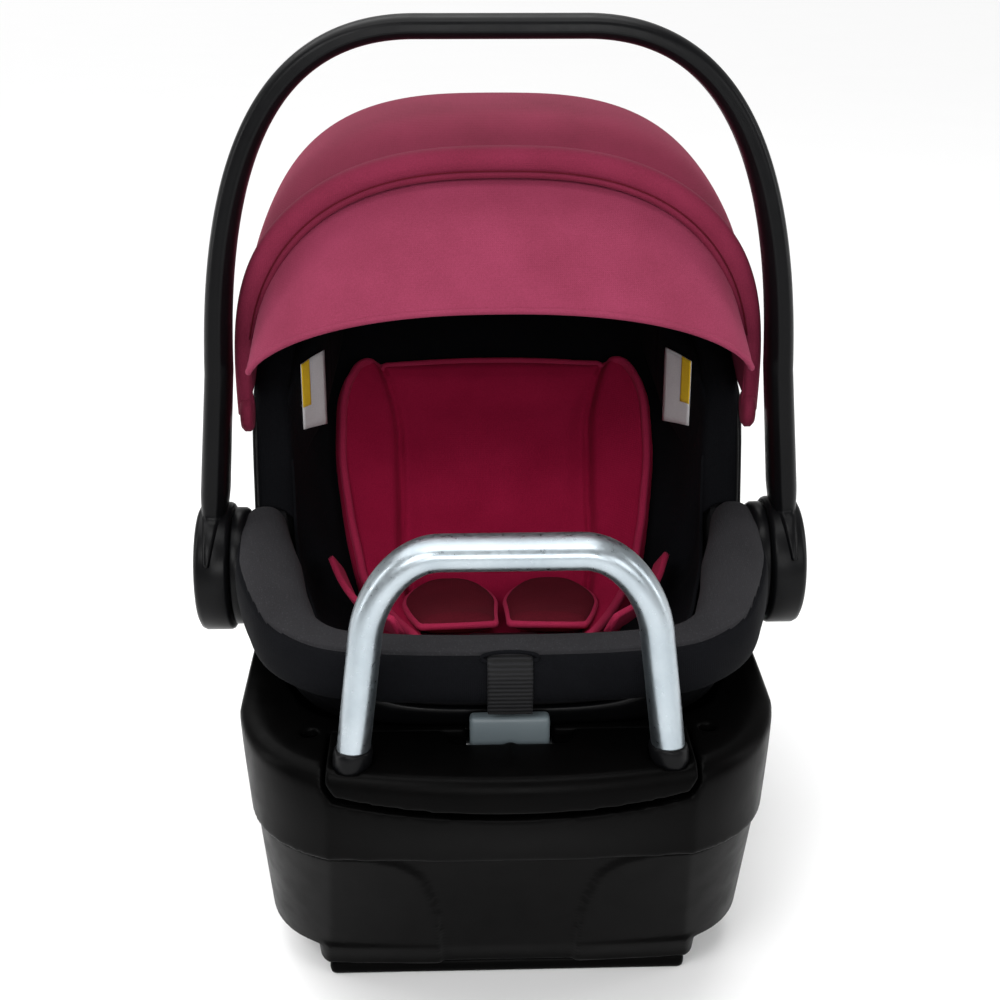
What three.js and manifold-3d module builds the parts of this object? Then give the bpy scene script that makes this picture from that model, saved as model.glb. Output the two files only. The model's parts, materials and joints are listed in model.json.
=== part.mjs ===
// Infant car seat: a rear-facing carrier with handle and canopy, on its base with an anti-rebound bar.
// Millimetres, +Z up. The origin is on the floor under the handle pivot; -Y is the baby's feet.
import * as THREE from 'three';
import { mergeVertices } from 'three/addons/utils/BufferGeometryUtils.js';
import Module from 'manifold-3d';

const wasm = await Module();
wasm.setup();

// ---- driving dimensions ----
const GAP = 0.35;                  // left between touching pieces
const PIVOT_Z = 240;               // height of the handle pivot
const HUB_X = 222;                 // outer face of the handle hubs, so 444 overall
const HUB_R = 47;                  // handle hub drum
const HUB_FACE = 205;              // where the turning half of the hub starts
const HANDLE_RISE = 394;           // pivot to the top of the handle
const HANDLE_DEPTH = 34;           // handle section along Y
const CANOPY = { y: 30, z: 350 };  // canopy pivot
const BOW_LEAN = -9;               // degrees from upright of the front bow, feet side negative
const BOW_R = 198;                 // canopy pivot to the outer crown of the bow
const BOW_W = 184.5;               // half width of the bow outside
const SHELL_WALL = 4;
const FOAM = 13;
const COVER = 8;
const FOAM_INSET = SHELL_WALL + GAP;
const COVER_INSET = FOAM_INSET + FOAM + GAP;
const SEAT_INSET = COVER_INSET + COVER;
const BAR_Y = -222;                // anti-rebound bar plane
const BAR_FOOT = 100;               // half spread of the bar at the deck
const BAR_TOP = 342;               // centre line height of the bar's top
const DECK_Z = 200;                // front deck of the base
const SEAM_Z = 136;                // joint between tray and upper body
const BASE_BACK = 300;             // rear end of the base
const LATCH_Y = -140;              // latch bar under the carrier's foot end
const LATCH_Z = 165;
const LATCH_R = 5;

// ---- materials ----
function paint(colour, roughness, metalness = 0) {
  return new THREE.MeshStandardMaterial({ color: colour, roughness, metalness });
}
const satinBlack = paint(0x17181a, 0.42);
const baseBlack = paint(0x1b1c1e, 0.5);
const greyButton = paint(0x565f63, 0.45);
const bareSteel = paint(0xb9c1c8, 0.3, 0.9);
const darkSteel = paint(0x6d7276, 0.4, 0.9);
const burgundy = paint(0x7c1f42, 0.85);
const burgundyDark = paint(0x5c1530, 0.85);
const blackCloth = paint(0x101114, 0.9);
const webbing = paint(0x141416, 0.7);
const foamGrey = paint(0xd9dadb, 0.9);
const redPlastic = paint(0xb01a1e, 0.45);
const patchWhite = paint(0xd8d8d4, 0.7);
const windowClear = paint(0x9fc4b4, 0.2);

const seat = new THREE.Group();

// ---- solids ----
function merged(geometry) {
  const bare = geometry.clone();
  for (const name of ['normal', 'uv']) bare.deleteAttribute(name);
  return mergeVertices(bare, 1e-4);
}

function toSolid(geometry) {
  const shape = merged(geometry);
  const solid = new wasm.Manifold(new wasm.Mesh({
    numProp: 3,
    vertProperties: new Float32Array(shape.attributes.position.array),
    triVerts: new Uint32Array(shape.index.array),
  }));
  return solid;
}

function toGeometry(solid) {
  const mesh = solid.getMesh();
  const geometry = new THREE.BufferGeometry();
  geometry.setAttribute('position', new THREE.BufferAttribute(new Float32Array(mesh.vertProperties), 3));
  geometry.setIndex(new THREE.BufferAttribute(new Uint32Array(mesh.triVerts), 1));
  geometry.computeVertexNormals();
  return geometry;
}

function add(name, solid, material) {
  const mesh = new THREE.Mesh(toGeometry(solid), material);
  mesh.name = name;
  seat.add(mesh);
}

function addPair(name, solid, material) {
  add(`${name}_left`, solid.mirror([1, 0, 0]), material);
  add(`${name}_right`, solid, material);
}

function block(low, high) {
  const size = high.map((value, i) => value - low[i]);
  const middle = high.map((value, i) => (value + low[i]) / 2);
  return toSolid(new THREE.BoxGeometry(...size).translate(...middle));
}

const TURN = {
  x: (geometry) => geometry.rotateZ(-Math.PI / 2),
  y: (geometry) => geometry,
  z: (geometry) => geometry.rotateX(Math.PI / 2),
};

function rod(axis, radius, from, length, sides = 24) {
  const geometry = TURN[axis](new THREE.CylinderGeometry(radius, radius, length, sides));
  const centre = { x: [length / 2, 0, 0], y: [0, length / 2, 0], z: [0, 0, length / 2] }[axis];
  return toSolid(geometry.translate(...from.map((value, i) => value + centre[i])));
}

// A closed body through rings of points that all have the same count.
function loft(rings) {
  const count = rings[0].length;
  const corners = rings.flat().flatMap((p) => [p.x, p.y, p.z]);
  const faces = [];
  for (let i = 0; i < rings.length - 1; i += 1) {
    for (let j = 0; j < count; j += 1) {
      const a = i * count + j;
      const b = i * count + ((j + 1) % count);
      faces.push(a, b, b + count, a, b + count, a + count);
    }
  }
  [[rings[0], 0, true], [rings.at(-1), (rings.length - 1) * count, false]].forEach(([ring, start, first]) => {
    const centre = ring.reduce((sum, p) => sum.add(p), new THREE.Vector3()).divideScalar(count);
    const hub = corners.length / 3;
    corners.push(centre.x, centre.y, centre.z);
    for (let j = 0; j < count; j += 1) {
      const a = start + j;
      const b = start + ((j + 1) % count);
      faces.push(...(first ? [hub, b, a] : [hub, a, b]));
    }
  });
  const geometry = new THREE.BufferGeometry();
  geometry.setAttribute('position', new THREE.BufferAttribute(new Float32Array(corners), 3));
  geometry.setIndex(signedVolume(corners, faces) < 0 ? flipped(faces) : faces);
  return toSolid(geometry);
}

function signedVolume(corners, faces) {
  const point = (i) => new THREE.Vector3(corners[3 * i], corners[3 * i + 1], corners[3 * i + 2]);
  let total = 0;
  for (let i = 0; i < faces.length; i += 3) {
    total += point(faces[i]).dot(point(faces[i + 1]).cross(point(faces[i + 2])));
  }
  return total;
}

function flipped(faces) {
  const turned = [];
  for (let i = 0; i < faces.length; i += 3) turned.push(faces[i], faces[i + 2], faces[i + 1]);
  return turned;
}

// Piecewise straight reading of a table [[position, value], ...].
function read(table, at) {
  if (at <= table[0][0]) return table[0][1];
  for (let i = 1; i < table.length; i += 1) {
    const [y0, v0] = table[i - 1];
    const [y1, v1] = table[i];
    if (at <= y1) return v0 + ((v1 - v0) * (at - y0)) / (y1 - y0);
  }
  return table.at(-1)[1];
}

const superArc = (t, power) => Math.sign(t) * Math.abs(t) ** (2 / power);

// Oval ring round a centre, across the directions u and v.
function ovalRing(centre, u, v, halfU, halfV, sides = 12, power = 2.6) {
  const ring = [];
  for (let i = 0; i < sides; i += 1) {
    const angle = ((i + 0.5) * 2 * Math.PI) / sides;
    ring.push(centre.clone()
      .addScaledVector(u, halfU * superArc(Math.cos(angle), power))
      .addScaledVector(v, halfV * superArc(Math.sin(angle), power)));
  }
  return ring;
}

// Oval tube along a curve; size(t) gives its half height off the path's side and half width along `side`.
function tube(curve, steps, side, size, sides = 12, power = 2.6) {
  const rings = [];
  for (let i = 0; i <= steps; i += 1) {
    const t = i / steps;
    const tangent = curve.getTangent(t);
    const v = side.clone().addScaledVector(tangent, -side.dot(tangent)).normalize();
    const u = tangent.clone().cross(v);
    const [halfU, halfV] = size(t);
    rings.push(ovalRing(curve.getPoint(t), u, v, halfU, halfV, sides, power));
  }
  return loft(rings);
}

const at = (x, y, z) => new THREE.Vector3(x, y, z);

// The right half's rings from foot to middle, followed by their mirror images down the left.
function wholeArch(rings) {
  const left = rings.slice(0, -1).reverse().map((ring) => ring.map((p) => at(-p.x, p.y, p.z)));
  return [...rings, ...left];
}

const ACROSS = at(1, 0, 0);
const ALONG = at(0, 1, 0);

// ---- carrier bucket: outlines along Y ----
const BUCKET_Y = [-180, -174, -163, -135, -85, -10, 26, 48, 90, 150, 220, 290, 350, 385, 398];
const HALF_WIDTH = [[-180, 88], [-175, 114], [-163, 134], [-135, 149], [-85, 162], [-30, 173], [0, 177],
  [26, 180], [120, 180.5], [180, 177], [240, 168], [300, 152], [350, 128], [385, 95], [398, 60]];
const RIM = [[-180, 234], [-135, 240], [-85, 246], [0, 256], [26, 268], [48, 332], [80, 360], [120, 377],
  [180, 396], [240, 414], [300, 432], [350, 446], [398, 458]];
const FLOOR = [[-180, 214], [-174, 202], [-163, 191], [-135, 177], [-85, 165], [0, 156], [48, 158], [90, 168],
  [150, 196], [220, 240], [290, 288], [350, 340], [385, 384], [398, 418]];
// The seat surface inside rises sooner than the shell's underside, over thicker foam at the head.
const SEAT_FLOOR = [[-180, 214], [-174, 202], [-163, 191], [-135, 177], [-85, 165], [0, 156], [48, 160],
  [80, 168], [120, 186], [180, 232], [240, 282], [300, 338], [350, 388], [385, 426], [398, 446]];
const BUCKET_MIDDLE = 109;
const BUCKET_HALF = 289;

// One D-shaped section of the bucket, `inset` inside its outside, with its flat top `lift` over the rim.
function bucketRing(y, inset, lift) {
  const width = read(HALF_WIDTH, y) - inset;
  const place = BUCKET_MIDDLE + ((y - BUCKET_MIDDLE) * (BUCKET_HALF - inset)) / BUCKET_HALF;
  const rim = read(RIM, place);
  const table = inset > FOAM_INSET + 1 ? SEAT_FLOOR : FLOOR;
  const floor = Math.min(read(table, y) + inset, rim - 1);
  const shoulder = rim - 0.5;
  const ring = [at(width, place, rim + lift)];
  for (let i = 0; i <= 8; i += 1) {
    const angle = (i * Math.PI) / 8;
    ring.push(at(width * superArc(Math.cos(angle), 3.4), place,
      shoulder - (shoulder - floor) * superArc(Math.sin(angle), 2.4)));
  }
  ring.push(at(-width, place, rim + lift));
  return ring;
}

function bucket(inset, lift, ys = BUCKET_Y) {
  return loft(ys.map((y) => bucketRing(y, inset, lift)));
}

const outerBucket = bucket(0, 0);
const clearBucket = bucket(-0.5, 0.5);
const hollow = (inset) => bucket(inset, 60);

function bothSides(solid) {
  return solid.add(solid.mirror([1, 0, 0]));
}

function carrierShell() {
  const boss = rod('x', 30, [174, 0, PIVOT_Z], 12);
  const lug = block([32, LATCH_Y - 11, 156], [40, LATCH_Y + 11, 182]);
  const pinHole = rod('x', 6.4, [150, 0, PIVOT_Z], 60).add(rod('x', 10.5, [150, 0, PIVOT_Z], 27));
  const latchHole = rod('x', LATCH_R + 0.3, [-60, LATCH_Y, LATCH_Z], 120);
  return outerBucket
    .add(bothSides(boss))
    .add(bothSides(lug))
    .subtract(hollow(SHELL_WALL))
    .subtract(bothSides(pinHole))
    .subtract(latchHole);
}

const coverRoom = bucket(COVER_INSET - 0.5, 0).add(bucket(FOAM_INSET - 0.3, 0));

function liner(inset, thickness) {
  const pinRoom = rod('x', 12, [150, 0, PIVOT_Z], 60);
  return bucket(inset, -1)
    .subtract(hollow(inset + thickness))
    .subtract(bothSides(pinRoom))
    .subtract(adjusterRoom);
}

// Pocket in the foam at the foot end for the harness adjuster.
const ADJUSTER = { halfWidth: 20, back: -150, front: -169, low: 204, high: 226 };
const adjusterRoom = block([-ADJUSTER.halfWidth, ADJUSTER.front, ADJUSTER.low],
  [ADJUSTER.halfWidth, ADJUSTER.back, ADJUSTER.high]);

// ---- covers over the rim ----
const ROLL_POINTS = [[173, 16, 261], [166, -55, 257], [152, -118, 251], [140, -150, 248], [118, -171, 246],
  [80, -179, 245], [0, -181, 245]];

function footCover() {
  const right = ROLL_POINTS.map(([x, y, z]) => at(x, y, z));
  const left = ROLL_POINTS.slice(0, -1).map(([x, y, z]) => at(-x, y, z));
  const path = new THREE.CatmullRomCurve3([...right, ...left.reverse()], false, 'centripetal');
  const roll = tube(path, 24, at(0, 0, 1), (t) => {
    const end = Math.min(t, 1 - t);
    const swell = 0.7 + 0.3 * Math.min(end / 0.12, 1);
    return [20.5 * swell, 21 * swell];
  }, 12, 2.8);
  const hubRoom = rod('x', 31, [160, 0, PIVOT_Z], 40);
  return roll
    .subtract(clearBucket)
    .subtract(coverRoom)
    .subtract(bothSides(hubRoom))
    .subtract(block([-400, -400, 0], [400, 400, 221]));
}

// Padded wings on the inside of the head cover: how far their faces stand from the middle, along Y.
const WING_FACE = [[50, 158], [85, 148], [120, 138], [170, 131], [240, 127]];

function headWing() {
  const slab = loft(WING_FACE.map(([y, face]) => {
    const rim = read(RIM, y);
    return [at(face, y, rim - 70), at(200, y, rim - 70), at(200, y, rim + 8), at(face, y, rim + 8)];
  }));
  const bridge = slab.intersect(bucket(12, 80)).subtract(bucket(-1, 1));
  return slab.intersect(bucket(SEAT_INSET + 0.4, 80)).add(bridge);
}

function headCover() {
  const ys = BUCKET_Y.filter((y) => y >= 26);
  const cap = bucket(0.5, 9, ys)
    .subtract(bucket(-1, 1))
    .subtract(coverRoom)
    .subtract(bucket(22, 80));
  return cap.add(bothSides(headWing()));
}

// ---- padded insert on the slope of the back ----
// A padded body between two outlines: rows along Y, each with its half width, seen from inside the seat.
function floorAt(y, inset) {
  return read(SEAT_FLOOR, BUCKET_MIDDLE + ((y - BUCKET_MIDDLE) * BUCKET_HALF) / (BUCKET_HALF - inset)) + inset;
}

function pad(rows, thickness, xMiddle, lift = 0) {
  const rings = rows.map(([y, halfWidth, bulge]) => {
    const base = floorAt(y, SEAT_INSET) + 2 + lift;
    const ring = [];
    for (let i = 0; i < 12; i += 1) {
      const angle = ((i + 0.5) * 2 * Math.PI) / 12;
      const x = xMiddle(y) + halfWidth * superArc(Math.cos(angle), 3);
      ring.push(at(x, y, base + (thickness / 2) * bulge * (1 + superArc(Math.sin(angle), 3))));
    }
    return ring;
  });
  return loft(rings);
}

const WALL_ROOM = SEAT_INSET + 2.5;

function insertBack() {
  return pad([[40, 50, 0.9], [70, 62, 1.1], [130, 66, 1.2], [190, 66, 1.2], [232, 64, 1.1], [246, 60, 0.8]],
    18, () => 0).intersect(bucket(WALL_ROOM, 60));
}

function insertWing() {
  const wing = pad([[50, 22, 0.8], [80, 26, 1.2], [140, 27, 1.4], [200, 25, 1.4], [240, 20, 1.0]],
    34, () => 97);
  return wing.intersect(bucket(WALL_ROOM, 60));
}

function insertSeat() {
  return pad([[-66, 52, 0.7], [-52, 60, 1], [-20, 66, 1], [20, 60, 0.9], [34, 54, 0.8]], 14, () => 0)
    .intersect(bucket(WALL_ROOM, 60));
}

// ---- harness ----
const seatTop = (y) => floorAt(y, SEAT_INSET) + 24;

// A flat strap through points, `width` across X and `thick` deep.
function strap(points, width, thick, steps = 10) {
  const path = new THREE.CatmullRomCurve3(points.map((p) => at(...p)), false, 'centripetal');
  return tube(path, steps, ACROSS, () => [thick / 2, width / 2], 8, 8);
}

function shoulderPad() {
  const line = [[36, 30], [35.5, 0], [34.5, -35], [33.5, -66]].map(([x, y]) => at(x, y, seatTop(y) + 8));
  return tube(new THREE.CatmullRomCurve3(line, false, 'centripetal'), 12, ACROSS,
    (t) => [6, 32 * Math.min(1, 0.55 + 4 * Math.min(t, 1 - t))], 12, 3);
}

function harnessStrap() {
  return strap([[42, 98], [40, 80], [38, 60], [37, 34]].map(([x, y]) => [x, y, seatTop(y) + 4]), 36, 2);
}

function hipStrap() {
  return strap([[112, 40], [100, 8], [88, -28], [80, -56]].map(([x, y]) => [x, y, seatTop(y) + 12]), 24, 2.4, 6);
}

const BUCKLE = { y: -88, z: 204.6 };

function buckle() {
  const body = block([-25, BUCKLE.y - 24, BUCKLE.z], [25, BUCKLE.y + 16, BUCKLE.z + 13]);
  const slot = block([4, BUCKLE.y + 4, BUCKLE.z + 5], [22, BUCKLE.y + 30, BUCKLE.z + 9]);
  const well = block([-14, BUCKLE.y - 20, BUCKLE.z + 6], [14, BUCKLE.y - 2, BUCKLE.z + 30]);
  return body.subtract(bothSides(slot)).subtract(well);
}

const buckleButton = () => block([-13.5, BUCKLE.y - 19.5, BUCKLE.z + 9.5], [13.5, BUCKLE.y - 2.5, BUCKLE.z + 14.5]);
const buckleTongue = () => block([5, BUCKLE.y + 6, BUCKLE.z + 5.5], [21, BUCKLE.y + 20, BUCKLE.z + 8.5]);
const crotchStrap = () => block([-17, BUCKLE.y - 2, BUCKLE.z - 6.8], [17, BUCKLE.y + 1, BUCKLE.z - 0.4]);
const chestClip = () => strap([56, 68, 80].map((y) => [0, y, seatTop(y) + 7]), 36, 8, 2);
const adjusterStrap = () => strap([[0, -200.8, 258], [0, -203, 252], [0, -203.4, 238],
  [0, -203, 226]], 28, 1.6, 4);
const adjusterLever = () => block([-14, ADJUSTER.front + 4, ADJUSTER.low + 8], [14, ADJUSTER.back - 4.4, ADJUSTER.low + 13]);

function sidePatch() {
  const corners = [[78, 312, 352], [120, 320, 370]];
  return loft(corners.map(([y, low, high]) => {
    const x = read(WING_FACE, y) - 0.6;
    return [at(x - 1, y, low), at(x, y, low), at(x, y, high), at(x - 1, y, high)];
  }));
}

const latchBar = () => rod('x', LATCH_R, [-52, LATCH_Y, LATCH_Z], 104, 16);

// Release lever that follows the underside of the shell at the head end.
function shellRelease() {
  return block([-32, 328, 300], [32, 378, 440])
    .intersect(bucket(-12, 0))
    .subtract(bucket(-1, 1));
}

// ---- handle ----
const handleLine = (inset) => {
  const foot = at(HUB_X - 1 - inset, 0, PIVOT_Z);
  const knee = at(209 - inset, 0, PIVOT_Z + 150);
  const crown = at(55, 0, PIVOT_Z + HANDLE_RISE - inset);
  const half = [
    new THREE.LineCurve3(foot, knee),
    new THREE.CubicBezierCurve3(knee, at(204 - inset, 0, PIVOT_Z + 315), at(150 - inset / 2, 0,
      PIVOT_Z + HANDLE_RISE + 1 - inset), crown),
    new THREE.LineCurve3(crown, at(0, 0, PIVOT_Z + HANDLE_RISE - inset)),
  ];
  return half;
};

function handleBar() {
  const rings = [];
  const side = ALONG;
  const steps = [3, 9, 2];
  handleLine(9.5).forEach((curve, part) => {
    for (let i = part === 0 ? 0 : 1; i <= steps[part]; i += 1) {
      const t = i / steps[part];
      const tangent = curve.getTangent(t);
      const climb = (curve.getPoint(t).z - PIVOT_Z) / HANDLE_RISE;
      rings.push(ovalRing(curve.getPoint(t), tangent.clone().cross(side), side,
        10.5 - 2.5 * climb, HANDLE_DEPTH / 2 + 3 * (1 - climb), 10, 2.8));
    }
  });
  const arch = loft(wholeArch(rings));
  const drum = rod('x', HUB_R, [HUB_FACE, 0, PIVOT_Z], HUB_X - HUB_FACE, 24);
  const room = rod('x', HUB_R + 1.5, [150, 0, PIVOT_Z], HUB_FACE - 150, 24);
  const pocket = rod('x', 15.4, [211, 0, PIVOT_Z], 20);
  const bore = rod('x', 6.3, [190, 0, PIVOT_Z], 30);
  const trims = [room, pocket, bore];
  let bar = arch.subtract(room).subtract(room.mirror([1, 0, 0]));
  bar = bar.add(drum).add(drum.mirror([1, 0, 0]));
  for (const trim of trims) bar = bar.subtract(trim).subtract(trim.mirror([1, 0, 0]));
  return bar;
}

function hubMount() {
  const drum = rod('x', HUB_R - 1, [190.5, 0, PIVOT_Z], HUB_FACE - 0.5 - 190.5, 24);
  const boss = rod('x', 29, [186.5, 0, PIVOT_Z], 8);
  return drum.add(boss).subtract(rod('x', 6.3, [180, 0, PIVOT_Z], 30));
}

const pivotPin = () => rod('x', 6, [176, 0, PIVOT_Z], 34.5).add(rod('x', 10, [172, 0, PIVOT_Z], 4.5));
const handleButton = () => rod('x', 15, [215.5, 0, PIVOT_Z], 8);
const handleSpring = () => new wasm.Manifold(toRing(8, 5.5, 211.4, 3.9));

function toRing(outer, inner, from, length) {
  return rod('x', outer, [from, 0, PIVOT_Z], length, 16)
    .subtract(rod('x', inner, [from - 1, 0, PIVOT_Z], length + 2, 16))
    .getMesh();
}

// ---- canopy ----
// Arch ring in the plane through the canopy pivot axis leaning by `lean` degrees.
function archPoint(angle, lean, halfWidth, rise, power) {
  const x = halfWidth * superArc(Math.cos(angle), power);
  const r = rise * superArc(Math.sin(angle), power);
  const tilt = THREE.MathUtils.degToRad(lean);
  return at(x, CANOPY.y + r * Math.sin(tilt), CANOPY.z + r * Math.cos(tilt));
}

// A band that follows an arch, from `lean0` to `lean1`, between two arches of different size.
function archBand(lean0, lean1, outer, inner, power, steps = 24) {
  const rings = [];
  for (let i = 0; i <= steps; i += 1) {
    const angle = (i * Math.PI) / steps;
    rings.push([
      archPoint(angle, lean0, outer.w, outer.r, power),
      archPoint(angle, lean1, outer.w, outer.r, power),
      archPoint(angle, lean1, inner.w, inner.r, power),
      archPoint(angle, lean0, inner.w, inner.r, power),
    ]);
  }
  return loft(rings);
}

const TAB_X = 181.2;

function canopyBow() {
  const band = archBand(BOW_LEAN - 2.5, BOW_LEAN + 2.5, { w: BOW_W, r: BOW_R }, { w: TAB_X, r: BOW_R - 20 }, 2.6);
  const tab = rod('x', 13, [TAB_X, CANOPY.y, CANOPY.z], BOW_W - TAB_X, 20);
  const hole = rod('x', 5.4, [170, CANOPY.y, CANOPY.z], 30, 20);
  return band.add(tab).add(tab.mirror([1, 0, 0])).subtract(hole).subtract(hole.mirror([1, 0, 0]))
    .subtract(bucket(-0.7, 9.7));
}

const canopyPivot = () => rod('x', 5, [180.9, CANOPY.y, CANOPY.z], 3.9, 20);

// The rear fabric: arches from just behind the bow to the head end of the shell.
const REAR_ARCHES = [
  // base y, base z, crown y, crown z, half width
  [36, 352, 24, 557, 188.2],
  [60, 352, 70, 571, 188.2],
  [95, 362, 120, 574, 188],
  [140, 372, 175, 567, 186],
  [190, 386, 235, 545, 182],
  [245, 402, 300, 514, 174],
  [305, 418, 355, 488, 158],
  [356, 430, 398, 470, 132],
  [394, 436, 412, 452, 92],
];

function rearRing([baseY, baseZ, crownY, crownZ, halfWidth], thick) {
  const ring = [];
  const wrap = (inset) => {
    const points = [];
    for (let i = 0; i <= 16; i += 1) {
      const angle = (i * Math.PI) / 16;
      const rise = superArc(Math.sin(angle), 2.7);
      points.push(at((halfWidth - inset) * superArc(Math.cos(angle), 2.7),
        baseY + (crownY - baseY) * rise,
        baseZ + (crownZ - inset - baseZ) * rise));
    }
    return points;
  };
  ring.push(...wrap(0), ...wrap(thick).reverse());
  return ring;
}

function canopyRear() {
  return sheetLoft(REAR_ARCHES.map((row) => rearRing(row, 3)))
    .subtract(bucket(-0.7, 9.7));
}

// As loft, but its end rings are C-shaped strips, closed by quads between their two sides.
function sheetLoft(rings) {
  const count = rings[0].length;
  const half = count / 2;
  const corners = rings.flat().flatMap((p) => [p.x, p.y, p.z]);
  const faces = [];
  for (let i = 0; i < rings.length - 1; i += 1) {
    for (let j = 0; j < count; j += 1) {
      const a = i * count + j;
      const b = i * count + ((j + 1) % count);
      faces.push(a, b, b + count, a, b + count, a + count);
    }
  }
  [[0, true], [(rings.length - 1) * count, false]].forEach(([start, first]) => {
    for (let j = 0; j < half - 1; j += 1) {
      const a = start + j;
      const b = start + j + 1;
      const c = start + count - 2 - j;
      const d = start + count - 1 - j;
      faces.push(...(first ? [a, d, c, a, c, b] : [a, c, d, a, b, c]));
    }
  });
  const geometry = new THREE.BufferGeometry();
  geometry.setAttribute('position', new THREE.BufferAttribute(new Float32Array(corners), 3));
  geometry.setIndex(signedVolume(corners, faces) < 0 ? flipped(faces) : faces);
  return toSolid(geometry);
}

// The visor hangs from under the bow to a free edge over the seat.
const VISOR_ROWS = [
  // lean in degrees, crown radius, half width at the pivot height
  [BOW_LEAN - 1, 177, 179],
  [BOW_LEAN - 14, 166, 177],
  [BOW_LEAN - 27, 147, 175],
  [BOW_LEAN - 38, 128, 172],
];

function canopyVisor() {
  const rings = VISOR_ROWS.map(([lean, r, w]) => {
    const side = (inset) => {
      const points = [];
      for (let i = 2; i <= 18; i += 1) {
        points.push(archPoint((i * Math.PI) / 20, lean, w - inset, r - inset, 2.6));
      }
      return points;
    };
    return [...side(0), ...side(2.5).reverse()];
  });
  return sheetLoft(rings).subtract(bucket(-0.7, 9.7));
}

// ---- base ----
// Plan outline of the base at a height: bowed front, rounded corners, straight sides, rounded back.
function planRing(z, front, corner, side, back = BASE_BACK) {
  const right = new THREE.Path();
  right.moveTo(0, front);
  right.quadraticCurveTo(corner[0] * 0.55, front, corner[0], corner[1]);
  const bulge = [corner[0] + (side[0] - corner[0]) * 0.88, corner[1] + (side[1] - corner[1]) * 0.3];
  right.quadraticCurveTo(bulge[0], bulge[1], side[0], side[1]);
  right.lineTo(side[0], back - 45);
  right.quadraticCurveTo(side[0], back, side[0] - 45, back);
  right.lineTo(0, back);
  const points = right.getPoints(4);
  const left = points.slice(1, -1).reverse().map((p) => new THREE.Vector2(-p.x, p.y));
  return [...points, ...left].map((p) => at(p.x, p.y, z));
}

const WALL = 3.2;

function shrink(ring, wall, dz = 0) {
  const middleY = (BASE_BACK - 200) / 2;
  return ring.map((p) => at(p.x * (1 - wall / 150), middleY + (p.y - middleY) * (1 - wall / 250), p.z + dz));
}

// The tray is a wide body over a plinth that stands on the floor, narrow in front and wide behind.
const PLINTH_Z = 30;
const LOWER_RINGS = [
  planRing(PLINTH_Z, -184, [122, -178], [167, -118]),
  planRing(SEAM_Z - GAP, -231, [114, -229], [168, -162]),
];
const PLINTH_RINGS = [
  planRing(0, -175, [124, -171], [131, -158], 296),
  planRing(12, -176, [124, -172], [131, -158], 296),
  planRing(PLINTH_Z + 0.5, -183.6, [122, -180], [133, -160], 296),
];
const HEEL_RINGS = [
  planRing(0, -116, [128, -116], [162, -92], 294),
  planRing(PLINTH_Z + 0.5, -121, [130, -121], [165, -97], 294),
];
const UPPER_RINGS = [
  planRing(SEAM_Z, -236, [116, -232], [171, -163]),
  planRing(190, -254, [114, -241], [177, -150]),
  planRing(270, -246, [116, -232], [182, -128]),
];

const RECLINE = { halfWidth: 124, front: -170, back: -126, top: 11.8 };
const SCREW = { x: 128, y: -188 };
const buttonRoom = block([-27.5, -203, 184], [27.5, -170, 230]);

function baseTray() {
  const outside = loft(LOWER_RINGS).add(loft(PLINTH_RINGS)).add(loft(HEEL_RINGS));
  const body = LOWER_RINGS.map((ring, i) => shrink(ring, WALL, i ? 1 : WALL));
  const plinth = PLINTH_RINGS.map((ring, i) => shrink(ring, WALL, i ? 4 : WALL));
  const heel = HEEL_RINGS.map((ring, i) => shrink(ring, WALL, i ? 4 : WALL));
  const postRoom = block([60, -160, 0], [92, -138, 40]);
  return outside
    .subtract(loft(body))
    .subtract(loft(plinth))
    .subtract(loft(heel))
    .subtract(bothSides(postRoom))
    .subtract(block([-140, -190, -1], [140, RECLINE.back + GAP, 12.1]));
}

// Side profile of the upper body's top: front deck, side rails, rear rest.
function topCut(lift) {
  const profile = new THREE.Shape();
  profile.moveTo(-400, 400);
  profile.lineTo(-400, DECK_Z - 1 + lift);
  profile.lineTo(-245, DECK_Z - 1 + lift);
  profile.lineTo(-205, DECK_Z + 1 + lift);
  profile.lineTo(-120, DECK_Z + 2 + lift);
  profile.lineTo(60, DECK_Z + 8 + lift);
  profile.lineTo(200, DECK_Z + 36 + lift);
  profile.lineTo(400, DECK_Z + 44 + lift);
  profile.lineTo(400, 400);
  const slab = new THREE.ExtrudeGeometry(profile, { depth: 500, bevelEnabled: false });
  slab.rotateY(Math.PI / 2).rotateX(Math.PI / 2).translate(-250, 0, 0);
  return toSolid(slab);
}

const HOUSING = { halfWidth: 114.5, back: -189, front: -262, low: 181 };

function housingBlock(margin) {
  const w = HOUSING.halfWidth + margin;
  return block([-w, HOUSING.front - 20, HOUSING.low - margin], [w, HOUSING.back + margin, 300]);
}

function cradle(clearance) {
  return bucket(-clearance, 120);
}

function baseBody() {
  const outside = loft(UPPER_RINGS).subtract(topCut(0));
  const inside = loft(UPPER_RINGS.map((ring, i) => shrink(ring, WALL, i ? 0 : -2))).subtract(topCut(-WALL));
  const skin = outside.subtract(cradle(4)).subtract(inside.subtract(cradle(4 + WALL)));
  const latchWindow = block([-48, LATCH_Y - 46, 120], [48, LATCH_Y + 22, 186]);
  const screwHole = rod('z', 4.2, [SCREW.x, SCREW.y, 150], 100);
  const beltPath = block([100, 66, 184], [200, 126, 260]);
  return skin
    .subtract(housingBlock(0.4))
    .subtract(buttonRoom)
    .subtract(latchWindow)
    .subtract(bothSides(beltPath))
    .subtract(bothSides(screwHole));
}

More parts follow.
